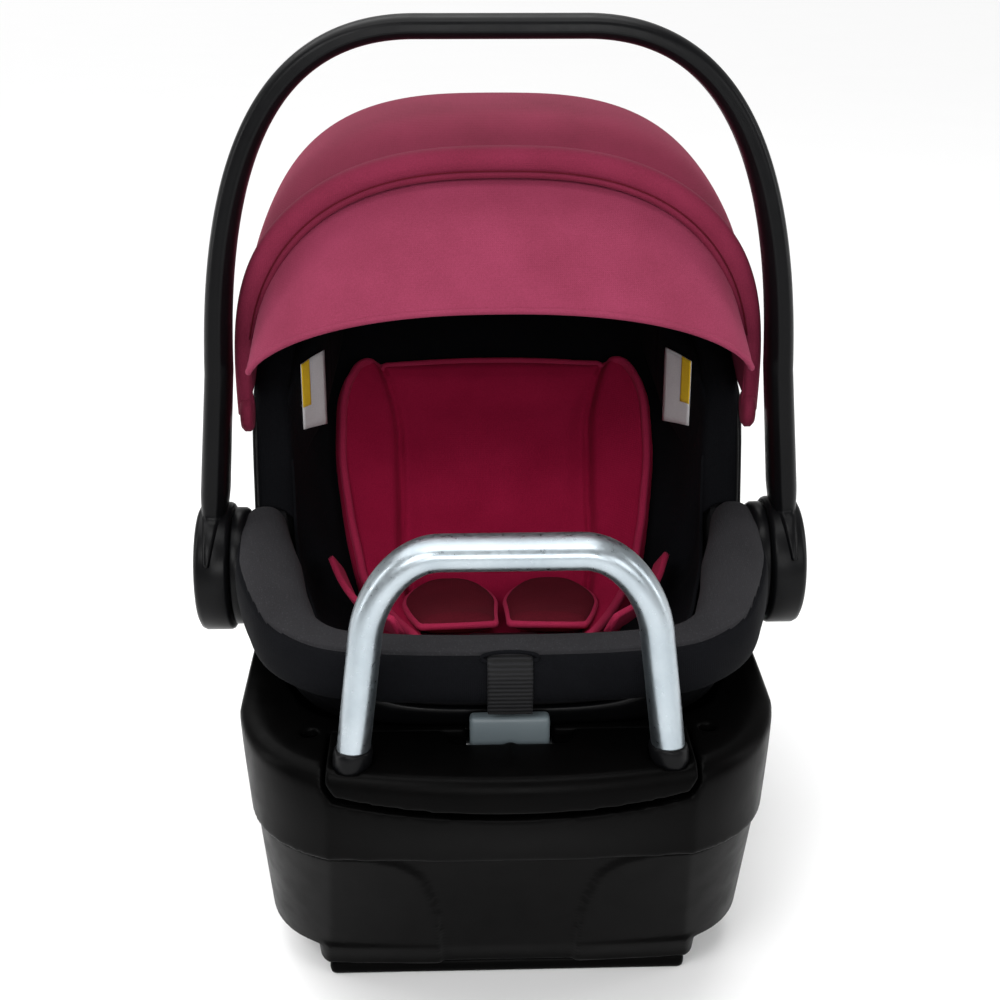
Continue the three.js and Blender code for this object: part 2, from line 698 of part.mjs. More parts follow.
function barHousing() {
  const outside = loft(UPPER_RINGS.map((ring) => shrink(ring, -0.6))).subtract(topCut(0.8));
  const inside = loft(UPPER_RINGS.map((ring) => shrink(ring, WALL))).subtract(topCut(-WALL));
  const shellPart = outside.subtract(inside).intersect(housingBlock(0));
  const socket = tube(new THREE.LineCurve3(barFoot(164), barFoot(214)), 1, ALONG, () => [13.1, 17.9]);
  return shellPart.subtract(bothSides(socket)).subtract(buttonRoom);
}

// A point on the straight foot of the anti-rebound bar's centre line.
const BAR_SLOPE = 0.1207;
function barFoot(z) {
  return at(BAR_FOOT + 2 - BAR_SLOPE * (z - 176), BAR_Y, z);
}

const barLine = () => {
  const foot = barFoot(182);
  const knee = at(88, BAR_Y, 289);
  const top = at(42, BAR_Y, BAR_TOP);
  const bend = new THREE.CubicBezierCurve3(knee, at(85, BAR_Y, 314), at(66, BAR_Y, BAR_TOP), top);
  return [new THREE.LineCurve3(foot, knee), bend, new THREE.LineCurve3(top, at(0, BAR_Y, BAR_TOP))];
};

function reboundBar() {
  const rings = [];
  const steps = [2, 8, 1];
  barLine().forEach((curve, part) => {
    for (let i = part === 0 ? 0 : 1; i <= steps[part]; i += 1) {
      const t = i / steps[part];
      rings.push(ovalRing(curve.getPoint(t), curve.getTangent(t).cross(ALONG), ALONG, 10.3, 15, 14, 2.2));
    }
  });
  return loft(wholeArch(rings));
}

function barCollar() {
  const outer = tube(new THREE.LineCurve3(barFoot(186), barFoot(213)), 1, ALONG, () => [12.2, 17.1], 14, 2.4);
  const inner = tube(new THREE.LineCurve3(barFoot(170), barFoot(226)), 1, ALONG, () => [10.7, 15.45], 14, 2.2);
  return outer.subtract(inner);
}

function releaseButton() {
  const cap = block([-25.5, -201, 189], [25.5, -189.5, 219]);
  return cap.add(block([-12, -190, 190], [12, -182.4, 198]));
}

function releaseLatch() {
  const plate = block([-44, -182, 140], [44, -178, 157]);
  const stem = block([-11, -182, 150], [11, -178, 197]);
  const arm = block([14, -179, 140], [26, LATCH_Y + 13, 147]);
  const hook = block([14, LATCH_Y + LATCH_R + 1, 141], [26, LATCH_Y + 13, 163]);
  return plate.add(stem).add(bothSides(arm.add(hook)));
}

const releaseSpring = () => rod('y', 5, [0, -177.6, 148], 20, 12)
  .subtract(rod('y', 3.5, [0, -178, 148], 22, 12));

function reclineFoot() {
  const plate = block([-RECLINE.halfWidth, RECLINE.front, 0], [RECLINE.halfWidth, RECLINE.back, RECLINE.top]);
  const post = block([63, -157, 5], [89, -141, 100]);
  return plate.add(bothSides(post));
}

const reclineLever = () => block([-32, BASE_BACK + 0.6, 62], [32, BASE_BACK + 14, 74]);

function levelWindow() {
  return block([168, 40, 150], [177.5, 84, 166]).subtract(loft(UPPER_RINGS.map((ring) => shrink(ring, -0.4))));
}

const deckScrew = () => rod('z', 3.6, [SCREW.x, SCREW.y, DECK_Z - 9], 7, 12);

// Lower anchor connectors, laid on the rear deck with their belt between them.
const ANCHOR = { y: 272, z: 239.8, inner: 92, outer: 146 };

function anchorHook() {
  const body = block([ANCHOR.inner, ANCHOR.y - 13, ANCHOR.z], [ANCHOR.outer, ANCHOR.y + 13, ANCHOR.z + 15]);
  const jaw = block([ANCHOR.outer - 16, ANCHOR.y - 4, ANCHOR.z - 5], [ANCHOR.outer + 5, ANCHOR.y + 4, ANCHOR.z + 30]);
  const well = block([ANCHOR.inner + 8, ANCHOR.y - 8, ANCHOR.z + 9], [ANCHOR.inner + 28, ANCHOR.y + 8, ANCHOR.z + 30]);
  return body.subtract(jaw).subtract(well);
}

const anchorButton = () => block([ANCHOR.inner + 8.5, ANCHOR.y - 7.5, ANCHOR.z + 12.5],
  [ANCHOR.inner + 27.5, ANCHOR.y + 7.5, ANCHOR.z + 17]);
const anchorBelt = () => block([-ANCHOR.inner + 0.5, ANCHOR.y - 12, ANCHOR.z], [ANCHOR.inner - 0.5, ANCHOR.y + 12,
  ANCHOR.z + 2]);

// ---- assembly ----
add('carrier_shell', carrierShell(), satinBlack);
add('foam_liner', liner(FOAM_INSET, FOAM), foamGrey);
add('seat_cover', liner(COVER_INSET, COVER), blackCloth);
add('foot_cover', footCover(), blackCloth);
add('head_cover', headCover(), blackCloth);
add('insert_back', insertBack(), burgundy);
addPair('insert_wing', insertWing(), burgundy);
add('insert_seat', insertSeat(), burgundyDark);
addPair('shoulder_pad', shoulderPad(), burgundyDark);
addPair('harness_strap', harnessStrap(), webbing);
addPair('hip_strap', hipStrap(), burgundyDark);
add('chest_clip', chestClip(), satinBlack);
add('buckle', buckle(), satinBlack);
add('buckle_button', buckleButton(), redPlastic);
addPair('buckle_tongue', buckleTongue(), darkSteel);
add('crotch_strap', crotchStrap(), webbing);
add('adjuster_strap', adjusterStrap(), webbing);
add('adjuster_lever', adjusterLever(), greyButton);
addPair('side_patch', sidePatch(), patchWhite);
add('latch_bar', latchBar(), darkSteel);
add('shell_release', shellRelease(), greyButton);
add('handle_bar', handleBar(), satinBlack);
addPair('hub_mount', hubMount(), satinBlack);
addPair('pivot_pin', pivotPin(), darkSteel);
addPair('handle_button', handleButton(), satinBlack);
addPair('handle_spring', handleSpring(), darkSteel);
add('canopy_rear', canopyRear(), burgundy);
add('canopy_bow', canopyBow(), burgundy);
add('canopy_visor', canopyVisor(), burgundy);
addPair('canopy_pivot', canopyPivot(), satinBlack);
add('base_tray', baseTray(), baseBlack);
add('base_body', baseBody(), baseBlack);
add('bar_housing', barHousing(), baseBlack);
add('anti_rebound_bar', reboundBar(), bareSteel);
addPair('bar_collar', barCollar(), satinBlack);
add('release_button', releaseButton(), greyButton);
add('release_latch', releaseLatch(), darkSteel);
add('release_spring', releaseSpring(), darkSteel);
add('recline_foot', reclineFoot(), baseBlack);
add('recline_lever', reclineLever(), greyButton);
add('level_window', levelWindow(), windowClear);
addPair('deck_screw', deckScrew(), darkSteel);
addPair('anchor_hook', anchorHook(), satinBlack);
addPair('anchor_button', anchorButton(), redPlastic);
add('anchor_belt', anchorBelt(), webbing);

export default seat;
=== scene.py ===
"""Infant car seat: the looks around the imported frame.

Lengths in the tables are millimetres in the frame's axes; `at` turns them into metres.
"""
import itertools
import json
import math

import bmesh
import bpy
import numpy as np
from mathutils import Matrix, Vector


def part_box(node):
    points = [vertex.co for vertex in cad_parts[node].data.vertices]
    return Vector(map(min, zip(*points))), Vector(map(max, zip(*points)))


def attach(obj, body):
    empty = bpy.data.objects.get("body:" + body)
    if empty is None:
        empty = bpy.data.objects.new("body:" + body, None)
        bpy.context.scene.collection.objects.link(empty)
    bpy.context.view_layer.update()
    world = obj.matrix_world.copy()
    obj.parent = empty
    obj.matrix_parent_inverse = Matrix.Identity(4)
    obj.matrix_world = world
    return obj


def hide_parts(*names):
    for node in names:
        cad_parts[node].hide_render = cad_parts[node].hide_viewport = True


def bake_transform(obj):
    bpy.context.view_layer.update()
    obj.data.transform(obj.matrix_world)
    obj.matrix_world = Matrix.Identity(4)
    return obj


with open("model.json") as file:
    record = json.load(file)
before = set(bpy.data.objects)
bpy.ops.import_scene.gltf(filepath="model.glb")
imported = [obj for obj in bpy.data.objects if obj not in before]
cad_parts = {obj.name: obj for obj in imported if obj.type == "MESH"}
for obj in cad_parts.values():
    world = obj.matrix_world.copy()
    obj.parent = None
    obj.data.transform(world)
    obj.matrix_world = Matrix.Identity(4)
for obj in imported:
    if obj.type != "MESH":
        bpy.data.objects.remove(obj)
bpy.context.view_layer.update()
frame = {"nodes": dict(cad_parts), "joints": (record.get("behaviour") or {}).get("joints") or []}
joints = {joint["name"]: joint for joint in frame["joints"]}

MM = 0.001
HUB_Z = joints["handle_swing"]["pos_m"][2] / MM
CANOPY_Y = joints["canopy_fold"]["pos_m"][1] / MM
CANOPY_Z = joints["canopy_fold"]["pos_m"][2] / MM


def at(x, y, z):
    """A point given in millimetres, in metres."""
    return Vector((x * MM, y * MM, z * MM))


def size_of(node):
    """A CAD node's lowest and highest corners in millimetres."""
    low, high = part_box(node)
    return low / MM, high / MM


# ---- camera, light and floor
CAMERA_TILT = 21.0
CAMERA_TURN = 1.8
CAMERA_FAR = 1057.0
CAMERA_HIGH = 695.4
FOCAL = 55.3
SENSOR = 36.0
WORLD_LIGHT = 0.42
SUN_POWER, SUN_SPREAD = 2.3, 70
SUN_TURN = (-22, -14, 0)
FLOOR_SIDE = 60
LIGHT_AIM = (0, 0, 0.3)
# name, place, aim, size of the panel, power
LAMPS = (
    ("key", (-0.9, -1.5, 1.7), LIGHT_AIM, (1.0, 0.8), 20),
    ("fill", (1.4, -1.5, 1.1), LIGHT_AIM, (0.9, 0.9), 9),
    ("front", (0.1, -2.4, 1.1), LIGHT_AIM, (1.2, 0.8), 22),
    ("overhead", (0, -0.45, 2.1), (0, -0.2, 0.2), (1.3, 0.6), 12),
    ("side_left", (-1.9, 0.1, 0.8), LIGHT_AIM, (0.3, 1.2), 7),
    ("side_right", (1.9, 0.1, 0.8), LIGHT_AIM, (0.3, 1.2), 7),
)


def link_new(name, data):
    obj = bpy.data.objects.new(name, data)
    bpy.context.scene.collection.objects.link(obj)
    return obj


def make_camera():
    turn = math.radians(CAMERA_TURN)
    tilt = math.radians(CAMERA_TILT)
    data = bpy.data.cameras.new("camera")
    data.lens = FOCAL
    data.sensor_width = SENSOR
    camera = link_new("camera", data)
    camera.location = at(-CAMERA_FAR * math.sin(turn), -CAMERA_FAR * math.cos(turn), CAMERA_HIGH)
    camera.rotation_euler = (math.radians(90) - tilt, 0, -turn)
    bpy.context.scene.camera = camera


def make_studio():
    world = bpy.data.worlds.new("studio")
    world.use_nodes = True
    background = world.node_tree.nodes["Background"]
    background.inputs["Color"].default_value = (1, 1, 1, 1)
    background.inputs["Strength"].default_value = WORLD_LIGHT
    bpy.context.scene.world = world
    sky = bpy.data.lights.new("sky", "SUN")
    sky.energy = SUN_POWER
    sky.angle = math.radians(SUN_SPREAD)
    link_new("sky", sky).rotation_euler = [math.radians(turn) for turn in SUN_TURN]
    for name, spot, aim, size, power in LAMPS:
        data = bpy.data.lights.new(name, "AREA")
        data.shape = "RECTANGLE"
        data.size, data.size_y = size
        data.energy = power
        lamp = link_new(name, data)
        lamp.location = spot
        lamp.rotation_euler = (Vector(aim) - Vector(spot)).to_track_quat("-Z", "Y").to_euler()
    bpy.ops.mesh.primitive_plane_add(size=FLOOR_SIDE)
    floor = bpy.context.object
    floor.name = "floor"
    floor.data.materials.append(floor_material())
    bpy.context.scene.view_settings.view_transform = "Standard"


# ---- materials
class Look:
    """A material being built, patterned over the object's own coordinates."""

    def __init__(self, name):
        self.material = bpy.data.materials.new(name)
        self.material.use_nodes = True
        self.nodes = self.material.node_tree.nodes
        self.links = self.material.node_tree.links
        self.shader = self.nodes["Principled BSDF"]
        self.spot = self.nodes.new("ShaderNodeTexCoord").outputs["Object"]

    def feed(self, node, inputs):
        """Sets inputs to numbers or colours, or joins them to another node's output."""
        for key, value in inputs.items():
            if isinstance(value, bpy.types.NodeSocket):
                self.links.new(value, node.inputs[key])
            else:
                node.inputs[key].default_value = value

    def node(self, kind, inputs, **settings):
        node = self.nodes.new(kind)
        for key, value in settings.items():
            setattr(node, key, value)
        self.feed(node, inputs)
        return node

    def noise(self, scale, detail=2.0, rough=0.5):
        inputs = {"Scale": scale, "Detail": detail, "Roughness": rough, "Vector": self.spot}
        return self.node("ShaderNodeTexNoise", inputs).outputs["Fac"]

    def wave(self, direction, scale, distortion, detail=2.0):
        inputs = {"Scale": scale, "Distortion": distortion, "Detail": detail, "Vector": self.spot}
        return self.node("ShaderNodeTexWave", inputs, bands_direction=direction).outputs["Fac"]

    def calc(self, operation, *values):
        return self.node("ShaderNodeMath", dict(enumerate(values)), operation=operation).outputs[0]

    def ramp(self, source, low, high, start=0.3, stop=0.7):
        """A colour ramp from one colour to another."""
        node = self.node("ShaderNodeValToRGB", {"Fac": source})
        first, last = node.color_ramp.elements
        first.position, last.position = start, stop
        first.color, last.color = (*low, 1), (*high, 1)
        return node.outputs["Color"]

    def between(self, source, low, high, start=0.3, stop=0.7):
        inputs = {"Value": source, "From Min": start, "From Max": stop, "To Min": low, "To Max": high}
        return self.node("ShaderNodeMapRange", inputs).outputs["Result"]

    def bump(self, source, strength, distance, under=None):
        inputs = {"Height": source, "Strength": strength, "Distance": distance}
        if under is not None:
            inputs["Normal"] = under
        normal = self.node("ShaderNodeBump", inputs).outputs["Normal"]
        self.links.new(normal, self.shader.inputs["Normal"])
        return normal

    def shade(self, colour, roughness, **others):
        """Sets the shader's colour and roughness, and other inputs by name."""
        named = {key.replace("_", " "): value for key, value in others.items()}
        self.feed(self.shader, {"Base Color": colour, "Roughness": roughness, **named})


def plastic(name, low, high, rough, gloss=0.5, grain=900, depth=0.00012):
    """Moulded plastic: fine sparked grain, faint clouding of the gloss."""
    look = Look(name)
    cloud = look.between(look.noise(60, 4), rough - 0.05, rough + 0.06)
    look.shade(look.ramp(look.noise(14, 3), low, high), cloud, Specular_IOR_Level=gloss)
    look.bump(look.noise(grain), 0.35, depth)
    return look.material


KNIT_RIBS = 1500 / 6.28


def knit(name, low, high, sheen, gloss=0.2, speckle=None):
    """Fine knitted cloth: crossed ribs, melange colour and a soft sheen."""
    look = Look(name)
    weave = look.calc("MULTIPLY", look.wave("X", KNIT_RIBS, 1.2, 1.0), look.wave("Z", KNIT_RIBS, 1.2, 1.0))
    broad = look.noise(22, 3)
    melange = look.calc("MULTIPLY_ADD", look.noise(1100), 0.55, look.calc("MULTIPLY", broad, 0.45))
    colour = look.ramp(melange, low, high, 0.35, 0.65)
    if speckle:
        dots = look.node("ShaderNodeTexVoronoi", {"Scale": 420, "Vector": look.spot})
        share = look.between(dots.outputs["Distance"], 1.0, 0.0, 0.08, 0.28)
        inputs = {"Factor": share, "A": colour, "B": (*speckle, 1)}
        colour = look.node("ShaderNodeMix", inputs, data_type="RGBA").outputs["Result"]
    tint = (*[min(1, 3 * c + 0.1) for c in high], 1)
    look.shade(colour, 0.85, Sheen_Weight=sheen, Sheen_Roughness=0.45, Sheen_Tint=tint,
               Specular_IOR_Level=gloss)
    ribs = look.bump(weave, 0.4, 0.00025)
    look.bump(broad, 0.25, 0.0012, ribs)
    return look.material


def woven(name, low, high):
    """Webbing: tight ribs across the strap."""
    look = Look(name)
    ribs = look.wave("Z", 110, 0.6)
    look.shade(look.ramp(ribs, low, high, 0.2, 0.8), 0.6, Sheen_Weight=0.02, Specular_IOR_Level=0.15)
    look.bump(ribs, 0.6, 0.0005)
    return look.material


def metal(name, low, high, rough):
    look = Look(name)
    fine = look.noise(300, 3, 0.6)
    worn = look.between(fine, rough - 0.06, rough + 0.08)
    look.shade(look.ramp(look.noise(25, 4), low, high), worn, Metallic=1.0)
    look.bump(fine, 0.25, 0.00005)
    return look.material


def floor_material():
    look = Look("pale_floor")
    look.shade(look.ramp(look.noise(3), (0.915, 0.915, 0.915), (0.92, 0.92, 0.92)), 0.6)
    return look.material


# low colour, high colour, roughness, gloss, grain to the metre, depth of the grain
PLASTICS = {
    "satin_black": ((0.0020, 0.0020, 0.0023), (0.0029, 0.0030, 0.0034), 0.33, 0.085),
    "base_black": ((0.0006, 0.0006, 0.0006), (0.0011, 0.0010, 0.0010), 0.34, 0.025, 1100),
    "grey_plastic": ((0.085, 0.105, 0.115), (0.10, 0.122, 0.132), 0.38, 0.3),
    "red_plastic": ((0.4, 0.012, 0.016), (0.5, 0.02, 0.022), 0.3, 0.5, 900, 0.00006),
    "window": ((0.22, 0.42, 0.34), (0.3, 0.5, 0.42), 0.12, 0.5, 500, 0.00003),
    "foam": ((0.006, 0.006, 0.0065), (0.010, 0.010, 0.011), 0.8, 0.1, 300, 0.0006),
}
# name, low colour, high colour, sheen, gloss, colour of the speckle
CLOTHS = {
    "burgundy": ("burgundy_fabric", (0.152, 0.0155, 0.040), (0.203, 0.0245, 0.060), 0.18),
    # painted shade: a darker, less sheeny copy of the visor's burgundy cloth, for the rear canopy, the bow
    # and its tabs
    "burgundy_painted_shade": ("burgundy_canopy_painted_shade", (0.118, 0.0075, 0.0250), (0.158, 0.0120, 0.0375), 0.09),
    "burgundy_deep": ("burgundy_lining", (0.205, 0.0032, 0.0255), (0.270, 0.0065, 0.0370), 0.06, 0.08),
    # painted shade: a dark copy of the burgundy cloth, for the harness pads, which lie in shade, and for the
    # bow's stitch line
    "burgundy_dark": ("burgundy_dark", (0.052, 0.0025, 0.0065), (0.075, 0.0040, 0.0100), 0.04, 0.08),
    "binding": ("binding", (0.22, 0.006, 0.034), (0.29, 0.012, 0.050), 0.10),
    "black_cloth": ("black_fabric", (0.0020, 0.0021, 0.0028), (0.0034, 0.0036, 0.0046), 0.03, 0.05),
    # speckled charcoal cloth for the top of the foot roll: the speckle is the cloth's own, its lighter tone
    # over the black lower face is painted light from above
    "speckle_and_painted_top_light": ("speckled_fabric_and_painted_top_light", (0.0150, 0.0146, 0.0160), (0.0215, 0.0210, 0.0230), 0.05, 0.06,
                      (0.030, 0.030, 0.033)),
    "patch": ("patch_cloth", (0.50, 0.50, 0.51), (0.62, 0.62, 0.63), 0.05),
    "patch_band": ("patch_band", (0.66, 0.42, 0.015), (0.78, 0.52, 0.025), 0.05),
}


def make_materials():
    made = {name: plastic(name, *row) for name, row in PLASTICS.items()}
    made.update({name: knit(*row) for name, row in CLOTHS.items()})
    made["webbing"] = woven("webbing", (0.0015, 0.0015, 0.0017), (0.0065, 0.0065, 0.0075))
    made["bare_steel"] = metal("bare_steel", (0.30, 0.345, 0.375), (0.38, 0.425, 0.455), 0.32)
    made["dark_steel"] = metal("dark_steel", (0.32, 0.33, 0.34), (0.42, 0.43, 0.44), 0.35)
    return made


# ---- mesh helpers
class Track:
    """A smooth run through rows (t, value, ...), read by calling it with t."""

    def __init__(self, rows):
        data = np.array(rows, float)
        self.t, self.v = data[:, 0], data[:, 1:]
        gap = np.diff(self.t)[:, None]
        rise = np.diff(self.v, axis=0) / gap
        inner = (rise[1:] * gap[:-1] + rise[:-1] * gap[1:]) / (gap[1:] + gap[:-1])
        self.slope = np.vstack([rise[:1], inner * (rise[1:] * rise[:-1] > 0), rise[-1:]])

    def __call__(self, t):
        t = min(max(t, self.t[0]), self.t[-1])
        i = max(0, min(int(np.searchsorted(self.t, t, side="right")) - 1, len(self.t) - 2))
        gap = self.t[i + 1] - self.t[i]
        u = (t - self.t[i]) / gap
        a, b = self.v[i], self.v[i + 1]
        ma, mb = self.slope[i] * gap, self.slope[i + 1] * gap
        value = ((2 * u**3 - 3 * u**2 + 1) * a + (u**3 - 2 * u**2 + u) * ma
                 + (-2 * u**3 + 3 * u**2) * b + (u**3 - u**2) * mb)
        return float(value[0]) if len(value) == 1 else value


def arc_power(value, power):
    return math.copysign(abs(value) ** (2 / power), value)


def make_object(name, points, faces, look):
    mesh = bpy.data.meshes.new(name)
    mesh.from_pydata([tuple(p) for p in points], [], faces)
    mesh.validate()
    if look:
        mesh.materials.append(materials[look])
    obj = link_new(name, mesh)
    tidy_normals(obj)
    return obj


def tidy_normals(obj):
    work = bmesh.new()
    work.from_mesh(obj.data)
    bmesh.ops.remove_doubles(work, verts=work.verts, dist=1e-6)
    bmesh.ops.recalc_face_normals(work, faces=work.faces)
    if work.faces and all(edge.is_manifold for edge in work.edges) and work.calc_volume(signed=True) < 0:
        bmesh.ops.reverse_faces(work, faces=work.faces)
    work.to_mesh(obj.data)
    work.free()
    obj.data.shade_smooth()


def sheet_mesh(name, rows, look):
    """An open surface from rows of points."""
    count = len(rows[0])
    faces = [(i * count + j, i * count + j + 1, (i + 1) * count + j + 1, (i + 1) * count + j)
             for i in range(len(rows) - 1) for j in range(count - 1)]
    return make_object(name, [p for row in rows for p in row], faces, look)


def loft(name, rings, look, closed_path=False):
    """A closed body through rings of points."""
    count = len(rings[0])
    points = [p for ring in rings for p in ring]
    faces = []
    spans = len(rings) if closed_path else len(rings) - 1
    for i in range(spans):
        k = (i + 1) % len(rings)
        for j in range(count):
            n = (j + 1) % count
            faces.append((i * count + j, i * count + n, k * count + n, k * count + j))
    if not closed_path:
        for start, ring in ((0, rings[0]), ((len(rings) - 1) * count, rings[-1])):
            middle = sum(ring, Vector()) / count
            hub = len(points)
            points.append(middle)
            faces += [(hub, start + j, start + (j + 1) % count) for j in range(count)]
    return make_object(name, points, faces, look)


def smooth_path(points, steps):
    """Points evenly spread along a smooth curve through the given ones."""
    pts = [Vector(p) for p in points]
    lengths = [0.0]
    for a, b in zip(pts, pts[1:]):
        lengths.append(lengths[-1] + (b - a).length)
    track = Track([(length, *p) for length, p in zip(lengths, pts)])
    return [Vector(track(lengths[-1] * i / steps)) for i in range(steps + 1)]


def ring_frames(path, side):
    """For each point: (point, across, off) with `across` near `side` and `off` square to it and the path."""
    frames = []
    side = Vector(side)
    for i, point in enumerate(path):
        ahead = path[min(i + 1, len(path) - 1)] - path[max(i - 1, 0)]
        ahead.normalize()
        across = (side - ahead * side.dot(ahead)).normalized()
        frames.append((point, across, across.cross(ahead).normalized()))
    return frames


def sweep(name, path, side, section, look, closed_path=False):
    """Sweeps an outline of (across, off) millimetres, or one that changes with t, along a path in metres."""
    frames = ring_frames(path, side)
    rings = []
    for i, (point, across, off) in enumerate(frames):
        outline = section(i / (len(frames) - 1)) if callable(section) else section
        rings.append([point + across * (a * MM) + off * (b * MM) for a, b in outline])
    return loft(name, rings, look, closed_path)


def turns(sides):
    return [2 * math.pi * i / sides for i in range(sides)]


def oval(half_a, half_b, power=2.0, sides=24, power_b=None):
    """A rounded outline, squarer with a higher power."""
    return [(half_a * arc_power(math.cos(turn), power), half_b * arc_power(math.sin(turn), power_b or power))
            for turn in turns(sides)]


def use_modifier(obj, kind, **values):
    modifier = obj.modifiers.new(kind.lower(), kind)
    for key, value in values.items():
        setattr(modifier, key, value)


def settle(obj):
    """Applies the object's modifiers."""
    bpy.context.view_layer.update()
    graph = bpy.context.evaluated_depsgraph_get()
    mesh = bpy.data.meshes.new_from_object(obj.evaluated_get(graph), depsgraph=graph)
    obj.modifiers.clear()
    old = obj.data
    obj.data = mesh
    mesh.name = obj.name
    bpy.data.meshes.remove(old)


def thick_sheet(name, rows, thickness, look, offset=-1.0, levels=1):
    """A sheet of cloth with a real thickness and a soft rim."""
    obj = sheet_mesh(name, rows, look)
    use_modifier(obj, "SOLIDIFY", thickness=thickness * MM, offset=offset, use_even_offset=True)
    use_modifier(obj, "SUBSURF", levels=levels, render_levels=levels)
    settle(obj)
    obj.data.shade_smooth()
    return obj


def rounded_block(name, low, high, radius, look, segments=3):
    """A block with rounded edges, in millimetres."""
    work = bmesh.new()
    bmesh.ops.create_cube(work, size=1)
    for vertex in work.verts:
        for k in range(3):
            middle, size = (low[k] + high[k]) / 2, high[k] - low[k]
            vertex.co[k] = (middle + vertex.co[k] * size) * MM
    bmesh.ops.bevel(work, geom=work.edges[:], offset=radius * MM, segments=segments, affect="EDGES",
                    profile=0.5)
    mesh = bpy.data.meshes.new(name)
    work.to_mesh(mesh)
    work.free()
    if look:
        mesh.materials.append(materials[look])
    mesh.shade_smooth()
    return link_new(name, mesh)


def turned(name, profile, centre, look, sides=72, axis="X"):
    """A body turned round X or Z: profile rows are (place along the axis, radius)."""
    rings = []
    for along, radius in profile:
        ring = []
        for angle in turns(sides):
            a, b = radius * math.cos(angle), radius * math.sin(angle)
            offset = (along, a, b) if axis == "X" else (a, b, along)
            ring.append(at(*(c + d for c, d in zip(centre, offset))))
        rings.append(ring)
    return loft(name, rings, look)


def mirrored(obj, name):
    """A copy of obj on the other side of the plane X = 0."""
    mesh = obj.data.copy()
    mesh.transform(Matrix.Diagonal((-1, 1, 1, 1)))
    mesh.flip_normals()
    return link_new(name, mesh)


def cut(obj, tool, operation="DIFFERENCE"):
    """Joins or cuts with another closed body, which is used up."""
    use_modifier(obj, "BOOLEAN", operation=operation, object=tool, solver="MANIFOLD")
    settle(obj)
    bpy.data.objects.remove(tool)


def soften(obj, voxel, rounds, keep):
    """Rounds every edge as a mould does: voxel remesh, smoothing, then fewer faces."""
    use_modifier(obj, "REMESH", mode="VOXEL", voxel_size=voxel * MM, adaptivity=0.0)
    use_modifier(obj, "SMOOTH", factor=0.6, iterations=rounds)
    use_modifier(obj, "DECIMATE", ratio=keep)
    settle(obj)
    obj.data.shade_smooth()


def place(obj, body, nodes=()):
    """Puts a piece on a body, in place of CAD nodes."""
    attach(obj, body)
    if nodes:
        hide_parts(*nodes)


def pair(obj, name, body, node=None):
    """Places obj as the right one and a mirror image as the left one; a star in `body` is the side."""
    twin = mirrored(obj, f"{name}_left")
    obj.name = f"{name}_right"
    for piece, side in ((obj, "right"), (twin, "left")):
        place(piece, body.replace("*", side), [f"{node}_{side}"] if node else ())


materials = make_materials()
make_camera()
make_studio()

# ---- carrier bucket
HALF_WIDTH = Track([(-180, 88), (-174, 116), (-163, 134), (-135, 149), (-85, 162), (-30, 173), (0, 177),
                    (26, 180), (120, 180.5), (180, 177), (240, 168), (300, 152), (350, 128), (385, 95),
                    (398, 60)])
RIM = Track([(-180, 234), (-135, 240), (-85, 246), (0, 256), (26, 268), (48, 332), (80, 360), (120, 377),
             (180, 396), (240, 414), (300, 432), (350, 446), (398, 458)])
FLOOR = Track([(-180, 214), (-174, 202), (-163, 191), (-135, 177), (-85, 165), (0, 156), (48, 158), (90, 168),
               (150, 196), (220, 240), (290, 288), (350, 340), (385, 384), (398, 418)])
SEAT_FLOOR = Track([(-180, 214), (-174, 202), (-163, 191), (-135, 177), (-85, 165), (0, 156), (48, 160),
                    (80, 168), (120, 186), (180, 232), (240, 282), (300, 338), (350, 388), (385, 426),
                    (398, 446)])
BUCKET_MIDDLE, BUCKET_HALF = 109, 289
SEAT_INSET = 25.7
SIDE_POWER, FLOOR_POWER = 3.4, 2.4
SHELL_THICK = 4


def bucket_place(y, inset):
    return BUCKET_MIDDLE + (y - BUCKET_MIDDLE) * (BUCKET_HALF - inset) / BUCKET_HALF


def bucket_point(y, angle, inset, floor=FLOOR):
    """A point of the bucket's surface: angle 0 is the right rim, pi the left rim."""
    width = HALF_WIDTH(y) - inset
    spot = bucket_place(y, inset)
    rim = RIM(spot)
    low = min(floor(y) + inset, rim - 1)
    return at(width * arc_power(math.cos(angle), SIDE_POWER), spot,
              rim - (rim - low) * arc_power(math.sin(angle), FLOOR_POWER))


def seat_height(x, spot):
    """Height of the seat surface inside the bucket, at x across and `spot` along."""
    y = BUCKET_MIDDLE + (spot - BUCKET_MIDDLE) * BUCKET_HALF / (BUCKET_HALF - SEAT_INSET)
    width = HALF_WIDTH(y) - SEAT_INSET
    rim = RIM(spot)
    low = min(SEAT_FLOOR(y) + SEAT_INSET, rim - 1)
    across = min(abs(x) / width, 0.999) ** (SIDE_POWER / 2)
    deep = math.sqrt(1 - across**2)
    return rim - (rim - low) * deep ** (2 / FLOOR_POWER)


def spread(start, stop, count):
    return [start + (stop - start) * i / (count - 1) for i in range(count)]


def rim_angles(count):
    """Angles from rim to rim, closer together near the rims."""
    return [math.pi * (0.5 - 0.5 * math.cos(math.pi * i / (count - 1))) for i in range(count)]


